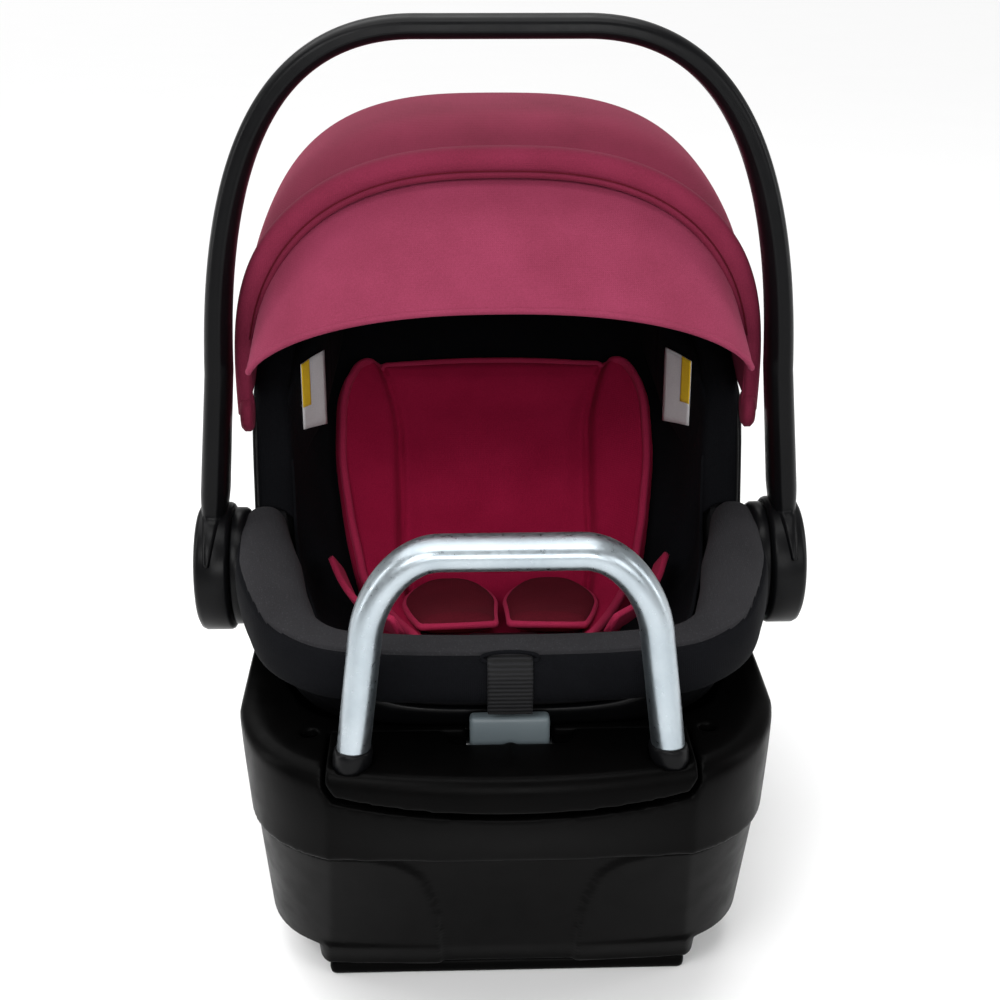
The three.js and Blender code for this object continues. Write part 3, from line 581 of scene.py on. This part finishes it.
def make_shell():
    rows = []
    for y in [*spread(-179.5, -160, 8), *spread(-155, 380, 70), *spread(383, 397, 8)]:
        rows.append([bucket_point(y, angle, 0) for angle in rim_angles(49)])
    shell = sheet_mesh("shell", rows, "satin_black")
    use_modifier(shell, "SOLIDIFY", thickness=SHELL_THICK * MM, offset=-1)
    settle(shell)
    place(shell, "carrier", ["carrier_shell"])
    lip = []
    for y in spread(-178, 396, 110):
        lip.append(bucket_point(y, 0, 0) + at(1.2, 0, -1))
    rail = sweep("shell_rim", lip, (0, 0, 1), oval(4.5, 2.6, 2.4, 12), "satin_black")
    pair(rail, "shell_rim", "carrier")
    for side in (-1, 1):
        boss = turned(f"shell_boss_{'left' if side < 0 else 'right'}",
                      [(172 * side, 30), (184 * side, 30), (186 * side, 27), (186.2 * side, 8)],
                      (0, 0, HUB_Z), "satin_black")
        place(boss, "carrier")


# the inner cover over the rim, from the outside inwards: steps out from and above the rim's edge
RIM_COVER = ((1.5, -16), (2.6, -6), (1.8, 3), (-3, 9), (-11, 11.5), (-19, 9), (-24.5, 2))
LINING_INSET = SEAT_INSET - 0.5
LINING_THICK = 2.5


def make_inner_cover():
    rows = []
    for y in [*spread(24, 60, 16), *spread(64, 396, 84)]:
        right = [at(HALF_WIDTH(y) + out, bucket_place(y, 0), RIM(y) + up) for out, up in RIM_COVER]
        inside = [bucket_point(y, angle, LINING_INSET, SEAT_FLOOR)
                  for angle in spread(0.12, math.pi - 0.12, 61)]
        left = [Vector((-p.x, p.y, p.z)) for p in reversed(right)]
        rows.append(right + inside + left)
    cover = thick_sheet("head_liner", rows, LINING_THICK, "black_cloth", offset=0)
    place(cover, "carrier", ["head_cover"])
    rows = []
    for y in spread(-176, 34, 56):
        rows.append([bucket_point(y, angle, LINING_INSET, SEAT_FLOOR) for angle in rim_angles(61)])
    lining = thick_sheet("seat_lining", rows, LINING_THICK, "black_cloth", offset=0)
    place(lining, "carrier", ["seat_cover"])


WING_START, WING_END = 46, 262
# how far from the middle the wings' inner faces are, along the seat
WING_FACE = Track([(46, 158), (62, 154), (80, 149.5), (100, 144), (120, 137), (170, 131), (240, 127),
                   (262, 131)])


def make_head_wings():
    """Padded side wings beside the head, each with a sewn edge and a plain sewn-on patch."""
    rings = []
    for y in spread(WING_START, WING_END, 60):
        end = min(1.0, (y - WING_START + 2) / 14, (WING_END + 2 - y) / 18)
        round_off = math.sqrt(max(0.05, 1 - (1 - end) ** 2))
        face, rim = WING_FACE(y), RIM(y)
        seam = 1.5 * math.exp(-((y - 150) / 2.2) ** 2)
        half = max(4.0, (HALF_WIDTH(y) - 22 - face) / 2)
        middle = at(face + half + seam, y, rim - 33)
        rings.append([middle + at(a, 0, b) for a, b in oval(half * round_off, 38 * round_off, 3.2, 48)])
    wing = loft("head_wing", rings, "black_cloth")
    pair(wing, "head_wing", "carrier", None)

    def patch_point(along, up):
        y = 78 + 42 * along
        low = 320 - 9 * along
        return at(WING_FACE(y) - 0.4 - 1.6 * along, y, low + (372 - low) * up)

    for piece, node, length, low, lift, look in (("patch_sheet", "side_patch", 1.0, 0.0, 0.0, "patch"),
                                                 ("patch_stripe", None, 0.36, 0.34, -0.5, "patch_band")):
        rows = [[patch_point(along, up) + at(lift, 0, 0) for up in spread(low, 1.0, 12)]
                for along in spread(0.0, length, 10)]
        sheet = thick_sheet(piece, rows, 0.6, look, offset=0, levels=0)
        pair(sheet, piece, "carrier", node)


# the roll's middle line, from the hub to the middle of the foot end
ROLL = [(175, 20, 262), (172, -15, 261), (165, -60, 257), (152, -118, 251), (140, -150, 248),
        (117, -171, 246), (80, -179, 245), (40, -181.5, 244.5), (0, -182, 244.5)]
ROLL_STEPS = 320
ROLL_SIDES = 108


def make_foot_cover():
    right = [at(*p) for p in ROLL]
    left = [Vector((-p.x, p.y, p.z)) for p in reversed(right[:-1])]
    path = smooth_path(right + left, ROLL_STEPS)

    def seam_at(t):
        side = max(0.0, min(1.0, (0.3 - min(t, 1 - t)) / 0.18))
        return math.radians(36 + 26 * side)

    def section(t):
        end = min(t, 1 - t)
        cap = math.sqrt(min(1, max(end, 0.0004) / 0.03))
        cap = 0.15 + 0.85 * math.sin(cap * math.pi / 2)
        side = max(0.0, min(1.0, (0.3 - end) / 0.15))
        taper = max(0.0, 1 - end / 0.13)
        seam = seam_at(t)
        high = (20.5 + 2.5 * side) * cap
        deep = (21.0 + 2.5 * side - 8.5 * taper) * cap
        points = []
        for angle, (up, out) in zip(turns(ROLL_SIDES), oval(high, deep, 2.5, ROLL_SIDES, 2.4)):
            off = math.atan2(math.sin(angle - seam), math.cos(angle - seam))
            pinch = 1 - 0.085 * math.exp(-(off / 0.06) ** 2)
            points.append((up * pinch, out * pinch))
        return points

    roll = sweep("foot_cover_roll", path, (0, 0, 1), section, "speckle_and_painted_top_light")
    # the roll's lower face takes the black cloth and its top the lighter speckled cloth: painted light on the
    # top
    roll.data.materials.append(materials["black_cloth"])
    for face in roll.data.polygons:
        ring, side = divmod(face.index, ROLL_SIDES)
        angle = 2 * math.pi * (side + 0.5) / ROLL_SIDES
        if seam_at(min(1.0, ring / ROLL_STEPS)) < angle < math.radians(250):
            face.material_index = 1
    place(roll, "carrier", ["foot_cover"])
    welt = smooth_path([at(18 * math.cos(a), -198.5 + 2.2 * math.sin(a), 260.5 + 3 * math.sin(a))
                        for a in spread(0, 2 * math.pi, 25)], 60)
    slit = sweep("strap_slit", welt[:-1], (0, 0, 1), oval(1.3, 1.3, 2, 8), "black_cloth", True)
    place(slit, "carrier", ())


make_shell()
make_inner_cover()
make_head_wings()
make_foot_cover()

# ---- padded insert
# half widths of the insert and of its middle panel, along the seat
INSERT_EDGE = Track([(-98, 60), (-60, 74), (-10, 92), (40, 110), (100, 124), (150, 131), (190, 130),
                     (215, 124), (233, 115), (243, 104)])
PANEL = Track([(-98, 50), (0, 64), (80, 75), (150, 78), (200, 82), (225, 90), (243, 98)])
INSERT_TOP, INSERT_FOOT, CORNER_DROP = 243, -98, 17


def domed(rise):
    """A quarter circle from 0 to 1, and nothing outside."""
    return math.sqrt(max(0.0, rise * (2 - rise)))


def make_insert():
    top, under = [], []
    for y in [*spread(INSERT_FOOT, 228, 84), *spread(230, INSERT_TOP, 14)]:
        edge, panel = INSERT_EDGE(y), PANEL(y)
        row, base = [], []
        for share in spread(-1, 1, 121):
            x = edge * share
            spot = y - CORNER_DROP * abs(share) ** 3 * max(0.0, (y - 130) / (INSERT_TOP - 130)) ** 2
            surface = seat_height(x, spot)
            slope = (seat_height(x, spot + 4) - seat_height(x, spot - 4)) / 8
            normal = Vector((0, -slope, 1)).normalized()
            rim_fall = min(1.0, (1 - abs(share)) / 0.07)
            end_fall = min(1.0, (INSERT_TOP - y) / 9, (y - INSERT_FOOT) / 14)
            puff = domed(rim_fall) * domed(end_fall)
            beyond = (abs(x) - panel) / max(edge - panel, 1)
            groove = math.exp(-((abs(x) - panel) / 3.2) ** 2)
            if beyond < 0:
                swell = 2.0 * math.cos(min(1.0, abs(x) / panel) * math.pi / 2)
                sink = 5.0 * min(1.0, max(0.0, (228 - y) / 18)) * min(1.0, -beyond * 3)
            else:
                swell = 7.0 * math.sin(math.pi * (0.25 + 0.5 * min(1.0, beyond)))
                sink = 0.0
            height = 4 + puff * (12 + swell - sink) * (1 - 0.6 * groove)
            row.append(at(x, spot, surface) + normal * (height * MM))
            base.append(at(x, spot, surface) + normal * (0.8 * MM))
        top.append(row)
        under.append(base)
    rings = [row + base[::-1] for row, base in zip(top, under)]
    insert = loft("insert", rings, "burgundy_deep")
    place(insert, "carrier", ["insert_back", "insert_wing_left", "insert_wing_right", "insert_seat"])
    edge_line = [row[-4] for row in top] + [top[-3][i] for i in range(115, 5, -1)]
    edge_line += [row[3] for row in top[::-1]]
    piping = sweep("insert_piping", smooth_path(edge_line[::3], 360), (0, 0.3, 1),
                   oval(3.6, 3.2, 2.4, 12), "binding")
    place(piping, "carrier", ())


def seat_top(y):
    return seat_height(0, y) + 17


PAD_LENGTH = 72


def make_pads():
    line = [at(x, y, seat_top(y) + 9 + extra) for x, y, extra in
            ((38, 33, 0), (38, 5, 1), (36, -30, 2), (32, -66, 3))]
    path = smooth_path(line, PAD_LENGTH)

    def half_width(t):
        end = min(1.0, t / 0.42)
        return 33.5 * math.sqrt(max(0.012, 1 - (1 - end) ** 2)) * (1 - 0.35 * max(0.0, t - 0.45))

    def section(t):
        end = min(t, 1 - t)
        thick = 7.5 * math.sqrt(max(0.08, 1 - (1 - min(1, end / 0.12)) ** 2))
        return oval(half_width(t), thick, 2.7, 36)

    # the pads' dark burgundy is painted shade
    pad = sweep("shoulder_pad_body", path, (1, 0, 0), section, "burgundy_dark")
    pair(pad, "harness_pad", "carrier", "shoulder_pad")
    frames = ring_frames(path, (1, 0, 0))
    edge = []
    for way in (1, -1):
        side = [point + across * (way * (half_width(i / PAD_LENGTH) - 0.5) * MM)
                for i, (point, across, _) in enumerate(frames)]
        edge += side if way > 0 else side[::-1]
    rim = sweep("pad_binding", edge, (0, 0, 1), oval(2.3, 2.8, 2.4, 12), "binding", True)
    pair(rim, "pad_binding", "carrier", None)


def ribbon(name, points, width, thick, look, side=(1, 0, 0)):
    return sweep(name, smooth_path([at(*p) for p in points], 40), side,
                 oval(width / 2, thick / 2, 6, 16), look)


def make_harness():
    line = ((39, 62, -9), (39, 50, -6), (38.5, 42, 0), (38, 34, 5), (38, 20, 7))
    strap = ribbon("shoulder_strap", [(x, y, seat_top(y) + extra) for x, y, extra in line], 36, 2, "webbing")
    pair(strap, "shoulder_strap", "carrier", "harness_strap")
    line = ((124, 20, 30), (112, -20, 30), (98, -60, 32), (74, -98, 34))
    hip = ribbon("hip_band", [(x, y, seat_height(x, y) + extra) for x, y, extra in line], 17, 5,
                 "binding", side=(0.7, 0.15, 1))
    pair(hip, "hip_band", "carrier", "hip_strap")
    adjuster = ribbon("adjuster_web", [(0, -192, 259), (0, -199, 260), (0, -204.5, 254), (0, -205.3, 240),
                                       (0, -203.5, 224)], 28.5, 2, "webbing")
    place(adjuster, "carrier", ["adjuster_strap"])
    for node in ("buckle", "chest_clip"):
        case = rounded_block(f"{node}_shell", *size_of(node), 3.5, "satin_black")
        place(case, "carrier", [node])


make_insert()
make_pads()
make_harness()

# ---- canopy
# station: the arch's foot (y, z), its crown (y, z), its half width
REAR_ARCHES = Track([
    (0, 28, 352, -1, 538, 182), (1, 48, 354, 50, 563.5, 187), (2, 95, 362, 118, 570, 186.5),
    (3, 140, 372, 175, 564, 185), (4, 190, 386, 235, 543, 183), (5, 245, 402, 300, 513, 176),
    (6, 305, 418, 355, 488, 162), (7, 356, 430, 398, 471, 138), (8, 394, 436, 413, 456, 98)])
BOW_LEAN, BOW_R, BOW_W, BOW_DEEP = -9.0, 199.0, 188.0, 22.0
WIRES = (0, 3.6, 8)
REAR_POWER, BOW_POWER = 2.9, 2.6


def arch_point(angle, half_width, rise):
    """A point in the bow's plane, from the right foot at 0 to the left foot at pi."""
    r = rise * arc_power(math.sin(angle), BOW_POWER)
    tilt = math.radians(BOW_LEAN)
    return at(half_width * arc_power(math.cos(angle), BOW_POWER), CANOPY_Y + r * math.sin(tilt),
              CANOPY_Z + r * math.cos(tilt))


def make_canopy_rear():
    rows = []
    for s in spread(0, 8, 81):
        base_y, base_z, crown_y, crown_z, half = REAR_ARCHES(s)
        before = max(w for w in WIRES if w <= s)
        after = min(w for w in WIRES if w >= s)
        sag = 0 if after == before else math.sin(math.pi * (s - before) / (after - before))
        row = []
        for angle in rim_angles(81):
            rise = arc_power(math.sin(angle), REAR_POWER)
            inward = 3.5 * sag * math.sin(angle)
            row.append(at((half - 0.5 * sag) * arc_power(math.cos(angle), REAR_POWER),
                          base_y + (crown_y - base_y) * rise, base_z + (crown_z - inward - base_z) * rise))
        rows.append(row)
    # the rear canopy takes the darker copy of the burgundy cloth: painted shade
    canopy = thick_sheet("canopy_rear_cloth", rows, 2.2, "burgundy_painted_shade", offset=-1)
    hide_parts("canopy_rear")
    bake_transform(canopy)


def make_bow():
    path = [arch_point(math.pi * i / 140, BOW_W - 1.5, BOW_R - BOW_DEEP / 2) for i in range(141)]
    tilt = math.radians(BOW_LEAN)
    plane_normal = Vector((0, math.cos(tilt), -math.sin(tilt)))

    def section(t):
        end = min(t, 1 - t)
        grow = min(1.0, end / 0.2)
        grow = grow * grow * (3 - 2 * grow)
        deep = 5.5 + (BOW_DEEP / 2 - 5.5) * grow
        wide = 6.5 + 1.5 * grow
        points = []
        for across, off in oval(wide, deep, 2.6, 40):
            if across < 0:
                across += 1.6 * math.exp(-((off - 0.33 * deep) / 1.5) ** 2) * grow
            points.append((across, -off))
        return points

    # the bow takes the darker copy of the burgundy cloth: painted shade
    bow = sweep("canopy_bow_roll", path, plane_normal, section, "burgundy_painted_shade")
    place(bow, "canopy_bow", ["canopy_bow"])
    line = [arch_point(a, BOW_W - 5.5, BOW_R - BOW_DEEP * 0.68) - plane_normal * (8.1 * MM)
            for a in spread(math.radians(14), math.radians(166), 130)]
    # a thread line, coloured dark as painted shade of the sewn groove
    stitch = sweep("bow_stitch", line, plane_normal, oval(0.55, 0.55, 2, 8), "burgundy_dark")
    place(stitch, "canopy_bow", ())
    tab = turned("bow_tab", [(180.5, 3), (181, 12), (183, 14.5), (187, 14.5), (189.3, 12), (189.8, 3)],
                 (0, CANOPY_Y, CANOPY_Z), "burgundy_painted_shade", 40)
    pair(tab, "bow_tab", "canopy_bow", None)


VISOR_EDGE_CROWN = (-64, 448)
VISOR_EDGE_SIDE = (-26, 393)
VISOR_TOP_W, VISOR_TOP_R = 179.5, BOW_R - BOW_DEEP - 0.8


def visor_row(v):
    """Points of the visor from right to left, from the bow at v = 0 to the free edge at v = 1."""
    first = math.radians(13)
    row = []
    for share in spread(-1, 1, 121):
        angle = math.pi / 2 + share * (math.pi / 2 - first)
        top = arch_point(angle, VISOR_TOP_W, VISOR_TOP_R)
        rise = arc_power(math.cos(share * math.pi / 2), 1.65)
        x = -176 * math.copysign(abs(math.sin(share * math.pi / 2)) ** 0.86, share)
        ends = zip(VISOR_EDGE_SIDE, VISOR_EDGE_CROWN)
        low = at(x, *(side + (middle - side) * rise for side, middle in ends))
        corner = max(0.0, (abs(share) - 0.9) / 0.1)
        reach = v * (0.62 + 0.38 * math.sqrt(max(0.0, 1 - corner**2)))
        bulge = math.sin(math.pi * reach) * 9 * rise
        row.append(top.lerp(low, reach) + at(0, -0.75 * bulge, 0.66 * bulge))
    return row


def make_visor():
    rows = [visor_row(v) for v in spread(0, 1, 33)]
    visor = thick_sheet("canopy_visor_cloth", rows, 2.6, "burgundy", offset=0)
    place(visor, "visor", ["canopy_visor"])
    hem = sweep("visor_hem", smooth_path(rows[-1], 200), (0, 0, 1), oval(2.3, 2.1, 2, 12), "burgundy")
    place(hem, "visor", ())


make_canopy_rear()
make_bow()
make_visor()

# ---- handle
HUB_X = size_of("handle_bar")[1][0]
HANDLE_TOP = size_of("handle_bar")[1][2]


def bezier(points, steps):
    result = []
    for i in range(steps + 1):
        t = i / steps
        level = [Vector(p) for p in points]
        while len(level) > 1:
            level = [a.lerp(b, t) for a, b in zip(level, level[1:])]
        result.append(level[0])
    return result


def arch_path(parts):
    """Right half given as lists of points, foot to middle, made whole."""
    right = []
    for part in parts:
        right += part if not right else part[1:]
    return right + [Vector((-p.x, p.y, p.z)) for p in reversed(right[:-1])]


def handle_path():
    inset = 9.5
    knee = at(209 - inset, 0, HUB_Z + 150)
    crown = at(55, 0, HANDLE_TOP - 8)
    return arch_path([
        bezier([at(HUB_X - 1 - inset, 0, HUB_Z + 18), knee], 60),
        bezier([knee, at(204 - inset, 0, HUB_Z + 315), at(150 - inset / 2, 0, HANDLE_TOP - 7), crown], 60),
        bezier([crown, at(0, 0, HANDLE_TOP - 8)], 10)])


DRUM_R = 47.4


def make_handle():
    path = handle_path()
    heights = [p.z / MM - HUB_Z for p in path]

    def section(t):
        height = heights[round(t * (len(path) - 1))]
        climb = height / (HANDLE_TOP - HUB_Z)
        half = 10.5 - 2.5 * climb
        deep = 20 - 3 * climb
        low = max(0.0, 1 - height / 62)
        half *= 1 - 0.85 * low**1.5
        deep = max(deep, math.sqrt(max(0.0, DRUM_R**2 - height**2)) + 1.2 + 2.6 * min(1.0, height / 40))
        points = []
        for across, off in oval(deep, half, 3.0, 48, 2.5):
            ridge = math.exp(-((off + 0.35 * half) / 1.3) ** 2)
            points.append((across + math.copysign(ridge, across), off))
        return points

    bar = sweep("handle_arch", path, (0, 1, 0), section, "satin_black")
    place(bar, "handle", ["handle_bar"])
    inner, outside = 196.4, HUB_X
    drum = turned("hub_drum", [(inner, 8), (inner, 44.5), (inner + 1.2, 46.6), (inner + 3, DRUM_R),
                               (outside - 5, DRUM_R), (outside - 2.2, 46), (outside - 0.6, 43), (outside, 39),
                               (outside, 20), (outside - 0.8, 18.6), (outside - 4, 18), (outside - 4, 6)],
                  (0, 0, HUB_Z), "satin_black", 96)
    pair(drum, "hub_drum", "handle", None)
    mount = turned("hub_collar", [(184.5, 8), (184.5, 39), (186, 42), (188, 43.4), (194.6, 43.6), (195.6, 43),
                                  (195.6, 8)],
                   (0, 0, HUB_Z), "satin_black", 96)
    pair(mount, "hub_collar", "carrier", "hub_mount")
    button = turned("handle_key", [(outside - 4.2, 4), (outside - 4.2, 15), (outside - 1, 16.6),
                                   (outside + 0.9, 15.8), (outside + 1.5, 12), (outside + 1.1, 4)],
                    (0, 0, HUB_Z), "satin_black", 48)
    pair(button, "handle_key", "handle_button_*", "handle_button")


make_handle()

# ---- base
SEAM = size_of("base_body")[0][2]
BASE_BACK = size_of("base_tray")[1][1]
BAR_Y = -222
WALL_TOP = 270
PLINTH_Z = 30
# the outline seen from above, by height: front, corner x and y, side x and y
UPPER = Track([(SEAM, -236, 116, -232, 171, -163), (190, -254, 114, -241, 177, -150),
               (WALL_TOP, -246, 116, -232, 182, -128)])
LOWER = Track([(PLINTH_Z, -184, 122, -178, 167, -118), (SEAM, -231, 114, -229, 168, -162)])
PLINTH = Track([(0, -175, 124, -171, 131, -158), (12, -176, 124, -172, 131, -158),
                (PLINTH_Z + 4, -185.8, 122, -182, 133, -162)])
HEEL = Track([(0, -116, 128, -116, 162, -92), (PLINTH_Z + 4, -121.7, 130, -121.7, 165.4, -97.7)])
# heights of the walls' top edge and of the deck inside it, along the base
RIDGE = Track([(-262, 190), (-238, 190), (-222, 192), (-205, 194), (-172, 197), (-135, 200), (-60, 203),
               (60, 209), (200, 237), (300, 243)])
DECK_LINE = Track([(-262, 202), (-240, 203), (-190, 204), (-120, 206), (60, 211.5), (200, 239.5),
                   (300, 245.5)])


def quad_curve(a, b, c, steps):
    return [((1 - t) ** 2 * a[0] + 2 * t * (1 - t) * b[0] + t * t * c[0],
             (1 - t) ** 2 * a[1] + 2 * t * (1 - t) * b[1] + t * t * c[1]) for t in spread(0, 1, steps + 1)]


BACK_CORNER = 45


def plan_ring(z, front, corner_x, corner_y, side_x, side_y, back=BASE_BACK, grow=0.0):
    corner, side = (corner_x + grow, corner_y - grow), (side_x + grow, side_y)
    front, back = front - grow, back + grow
    half = quad_curve((0, front), (corner[0] * 0.55, front), corner, 16)
    bulge = (corner[0] + (side[0] - corner[0]) * 0.88, corner[1] + (side[1] - corner[1]) * 0.3)
    half += quad_curve(corner, bulge, side, 20)[1:]
    turn_x, turn_y = side[0] - BACK_CORNER, back - BACK_CORNER
    half += [(side[0], side[1] + (turn_y - side[1]) * t) for t in spread(0, 1, 25)][1:]
    half += quad_curve((side[0], turn_y), (side[0], back), (turn_x, back), 14)[1:]
    half += [(turn_x - turn_x * t, back) for t in spread(0, 1, 9)][1:]
    return [at(x, y, z) for x, y in half] + [at(-x, y, z) for x, y in half[-2:0:-1]]


def plan_loft(name, track, low, high, steps, look, back=BASE_BACK):
    return loft(name, [plan_ring(z, *track(z), back=back) for z in spread(low, high, steps)], look)


def block(low, high):
    """A plain cutting block, in millimetres."""
    return rounded_block("cutter", low, high, 0.01, None, 1)


CRADLE_GAP = 4


def cradle_cutter():
    """The room the carrier's shell needs in the base, open at the top."""
    rings = []
    for y in [*spread(-179.9, -165, 6), *spread(-160, 380, 50), *spread(385, 397.9, 4)]:
        width = HALF_WIDTH(y) + CRADLE_GAP
        spot = bucket_place(y, -CRADLE_GAP)
        rim, low = RIM(spot), FLOOR(y) - CRADLE_GAP
        ring = [at(width, spot, rim + 120)]
        for angle in spread(0, math.pi, 33):
            ring.append(at(width * arc_power(math.cos(angle), SIDE_POWER), spot,
                           rim - (rim - low) * arc_power(math.sin(angle), FLOOR_POWER)))
        ring.append(at(-width, spot, rim + 120))
        rings.append(ring)
    return loft("cradle_cutter", rings, None)


def decked_body(name, shoulder, grow=0.0, lift=0.0):
    """The base's upper body: walls up to the ridge, a rounded shoulder inside it, then the deck."""
    levels = [plan_ring(z, *UPPER(z), grow=grow) for z in spread(SEAM, WALL_TOP, 40)]
    count = len(levels[0])

    def wall(k, z):
        level = (z - SEAM) / (WALL_TOP - SEAM) * (len(levels) - 1)
        i = min(int(level), len(levels) - 2)
        return levels[i][k].lerp(levels[i + 1][k], level - i)

    ridge = [wall(k, RIDGE(wall(k, 190).y / MM)) for k in range(count)]
    inward = []
    for k in range(count):
        run = ridge[(k + 1) % count] - ridge[k - 1]
        normal = Vector((-run.y, run.x, 0)).normalized()
        inward.append(normal if normal.dot(Vector((0, 0.05, 0)) - ridge[k]) > 0 else -normal)
    rings = []
    for t in spread(0, 1, 16):
        rings.append([wall(k, SEAM + 0.6 + t * (ridge[k].z / MM - SEAM - 0.6)) for k in range(count)])
    for turn in spread(8, 90, 10):
        angle = math.radians(turn)
        ring = []
        for k in range(count):
            point = ridge[k] + inward[k] * (shoulder * (1 - math.cos(angle)) * MM)
            top = DECK_LINE(point.y / MM) + lift
            base = ridge[k].z / MM
            ring.append(Vector((point.x, point.y, (base + max(0.0, top - base) * math.sin(angle)) * MM)))
        rings.append(ring)
    edge = rings[-1]
    for share in spread(0.9, 0.02, 14):
        rings.append([Vector((point.x * share, point.y, point.z)) for point in edge])
    return loft(name, rings, "base_black")


HOUSING_HALF, HOUSING_BACK, HOUSING_LOW = 114.5, -189, 181.5
SHOULDER, HOUSING_SHOULDER = 15, 9


def housing_room(margin, gap_below):
    """The space of the bar housing: straight sides, and a lower edge that lifts towards the ends."""
    rings = []
    half = HOUSING_HALF + margin
    for x in spread(-half, half, 48):
        share = abs(x) / half
        low = HOUSING_LOW + 8 * share**2 + 7 * max(0.0, (share - 0.93) / 0.07) ** 3 - gap_below
        rings.append([at(x, -300, low), at(x, HOUSING_BACK + margin, low), at(x, HOUSING_BACK + margin, 300),
                      at(x, -300, 300)])
    return loft("housing_room", rings, None)


def make_base_body():
    body = decked_body("base_upper", SHOULDER)
    cut(body, cradle_cutter())
    low, high = size_of("release_button")
    cut(body, block((low[0] - 2.2, low[1] - 2, 186), (high[0] + 2.2, -168, 240)))
    cut(body, housing_room(1.8, 5))
    cut(body, block((-48, -186, 120), (48, -118, 190)))
    for side in (-1, 1):
        near, far = sorted((100 * side, 200 * side))
        cut(body, block((near, 66, 184), (far, 126, 260)))
        screw = size_of("deck_screw_right" if side > 0 else "deck_screw_left")
        middle = (screw[0] + screw[1]) / 2
        cut(body, turned("screw_cutter", [(150, 5.6), (260, 5.6)], (middle[0], middle[1], 0), None, 32, "Z"))
    soften(body, 1.9, 4, 0.45)
    place(body, "base", ["base_body"])


def make_housing():
    housing = decked_body("bar_cover", HOUSING_SHOULDER, grow=0.8, lift=1.4)
    cut(housing, housing_room(0, 0), "INTERSECT")
    low, high = size_of("release_button")
    cut(housing, block((low[0] - 2.2, low[1] - 2, 150), (high[0] + 2.2, -150, 300)))
    notch = [at(x, y, z) for z in (199.5, 230) for x, y in ((-36, -207), (-46, -180), (46, -180), (36, -207))]
    cut(housing, loft("notch_cutter", [notch[:4], notch[4:]], None))
    for side in (-1, 1):
        path = [bar_foot(160, side), bar_foot(240, side)]
        cut(housing, sweep("socket_cutter", path, (0, 1, 0), oval(17.3, 12.4, 2.3, 40), None))
    soften(housing, 1.5, 4, 0.5)
    place(housing, "base", ["bar_housing"])


# half width of the sunk front panel, by height
PANEL_DEPTH = 3.4
CREASE = Track([(0, 45), (12, 46), (75, 49), (100, 54), (118, 61), (127, 71), (132, 83), (136, 98),
                (140, 108)])


def make_tray():
    tray = plan_loft("base_lower", LOWER, PLINTH_Z, SEAM - 0.8, 16, "base_black")
    plinth = plan_loft("plinth", PLINTH, 0, PLINTH_Z + 4, 10, None, back=296)
    cut(tray, plinth, "UNION")
    heel = plan_loft("heel", HEEL, 0, PLINTH_Z + 4, 8, None, back=294)
    cut(tray, heel, "UNION")
    low, high = size_of("recline_foot")
    cut(tray, block((-150, -200, -5), (150, high[1] + 1.2, 12.4)))
    panel = []
    for z in spread(2, SEAM + 2, 60):
        half = CREASE(z)
        front = LOWER(z)[0] if z > PLINTH_Z else PLINTH(z)[0]
        panel.append([at(x, y, z) for x, y in ((-half, front - 30), (half, front - 30),
                                               (half, front + PANEL_DEPTH), (-half, front + PANEL_DEPTH))])
    cut(tray, loft("panel_cutter", panel, None))
    soften(tray, 1.7, 3, 0.45)
    place(tray, "base", ["base_tray"])
    foot = rounded_block("recline_plate", (low[0], low[1], 0), (high[0], high[1], 11.8), 4.5, "base_black")
    place(foot, "recline", ["recline_foot"])


BAR_FOOT_X, BAR_SLOPE = 102, 0.1207
COLLAR_TILT = 0.15


def bar_foot(z, side=1):
    """A point on the straight foot of the anti-rebound bar."""
    return at(side * (BAR_FOOT_X - BAR_SLOPE * (z - 176)), BAR_Y, z)


def make_bar():
    knee, top = at(88, BAR_Y, 289), at(42, BAR_Y, 342)
    path = arch_path([
        bezier([bar_foot(186), knee], 14),
        bezier([knee, at(85, BAR_Y, 314), at(66, BAR_Y, 342), top], 26),
        bezier([top, at(0, BAR_Y, 342)], 6)])
    bar = sweep("rebound_tube", path, (0, 1, 0), oval(15.0, 10.4, 2.15, 40), "bare_steel")
    place(bar, "base", ["anti_rebound_bar"])
    ring = []
    for z, grow in ((188, 1.3), (196, 1.6), (208, 1.7), (211, 1.2), (212.6, 0.3)):
        middle = bar_foot(z)
        ring.append([middle + at(b, a, -COLLAR_TILT * a) for a, b in oval(15.3 + grow, 10.7 + grow, 2.2, 48)])
    collar = loft("bar_ferrule", ring, "satin_black")
    pair(collar, "bar_ferrule", "base", "bar_collar")


def make_release_key():
    low, high = size_of("release_button")
    button = rounded_block("release_key", (low[0], low[1], low[2] + 6), (high[0], high[1] - 7.5, high[2]),
                           3.2, "grey_plastic", 4)
    place(button, "release", ["release_button"])


make_base_body()
make_housing()
make_tray()
make_bar()
make_release_key()

# ---- CAD nodes that stay visible
# a star stands for left and right
NODE_LOOK = {
    "satin_black": ("canopy_pivot_*", "anchor_hook_*"),
    "grey_plastic": ("recline_lever", "shell_release", "adjuster_lever"),
    "red_plastic": ("buckle_button", "anchor_button_*"),
    "dark_steel": ("buckle_tongue_*", "latch_bar", "pivot_pin_*", "handle_spring_*", "release_latch",
                   "release_spring", "deck_screw_*"),
    "webbing": ("crotch_strap", "anchor_belt"),
    "foam": ("foam_liner",),
    "window": ("level_window",),
}
for look, names in NODE_LOOK.items():
    for name, side in itertools.product(names, ("left", "right")):
        node = frame["nodes"][name.replace("*", side)]
        node.data.materials.clear()
        node.data.materials.append(materials[look])
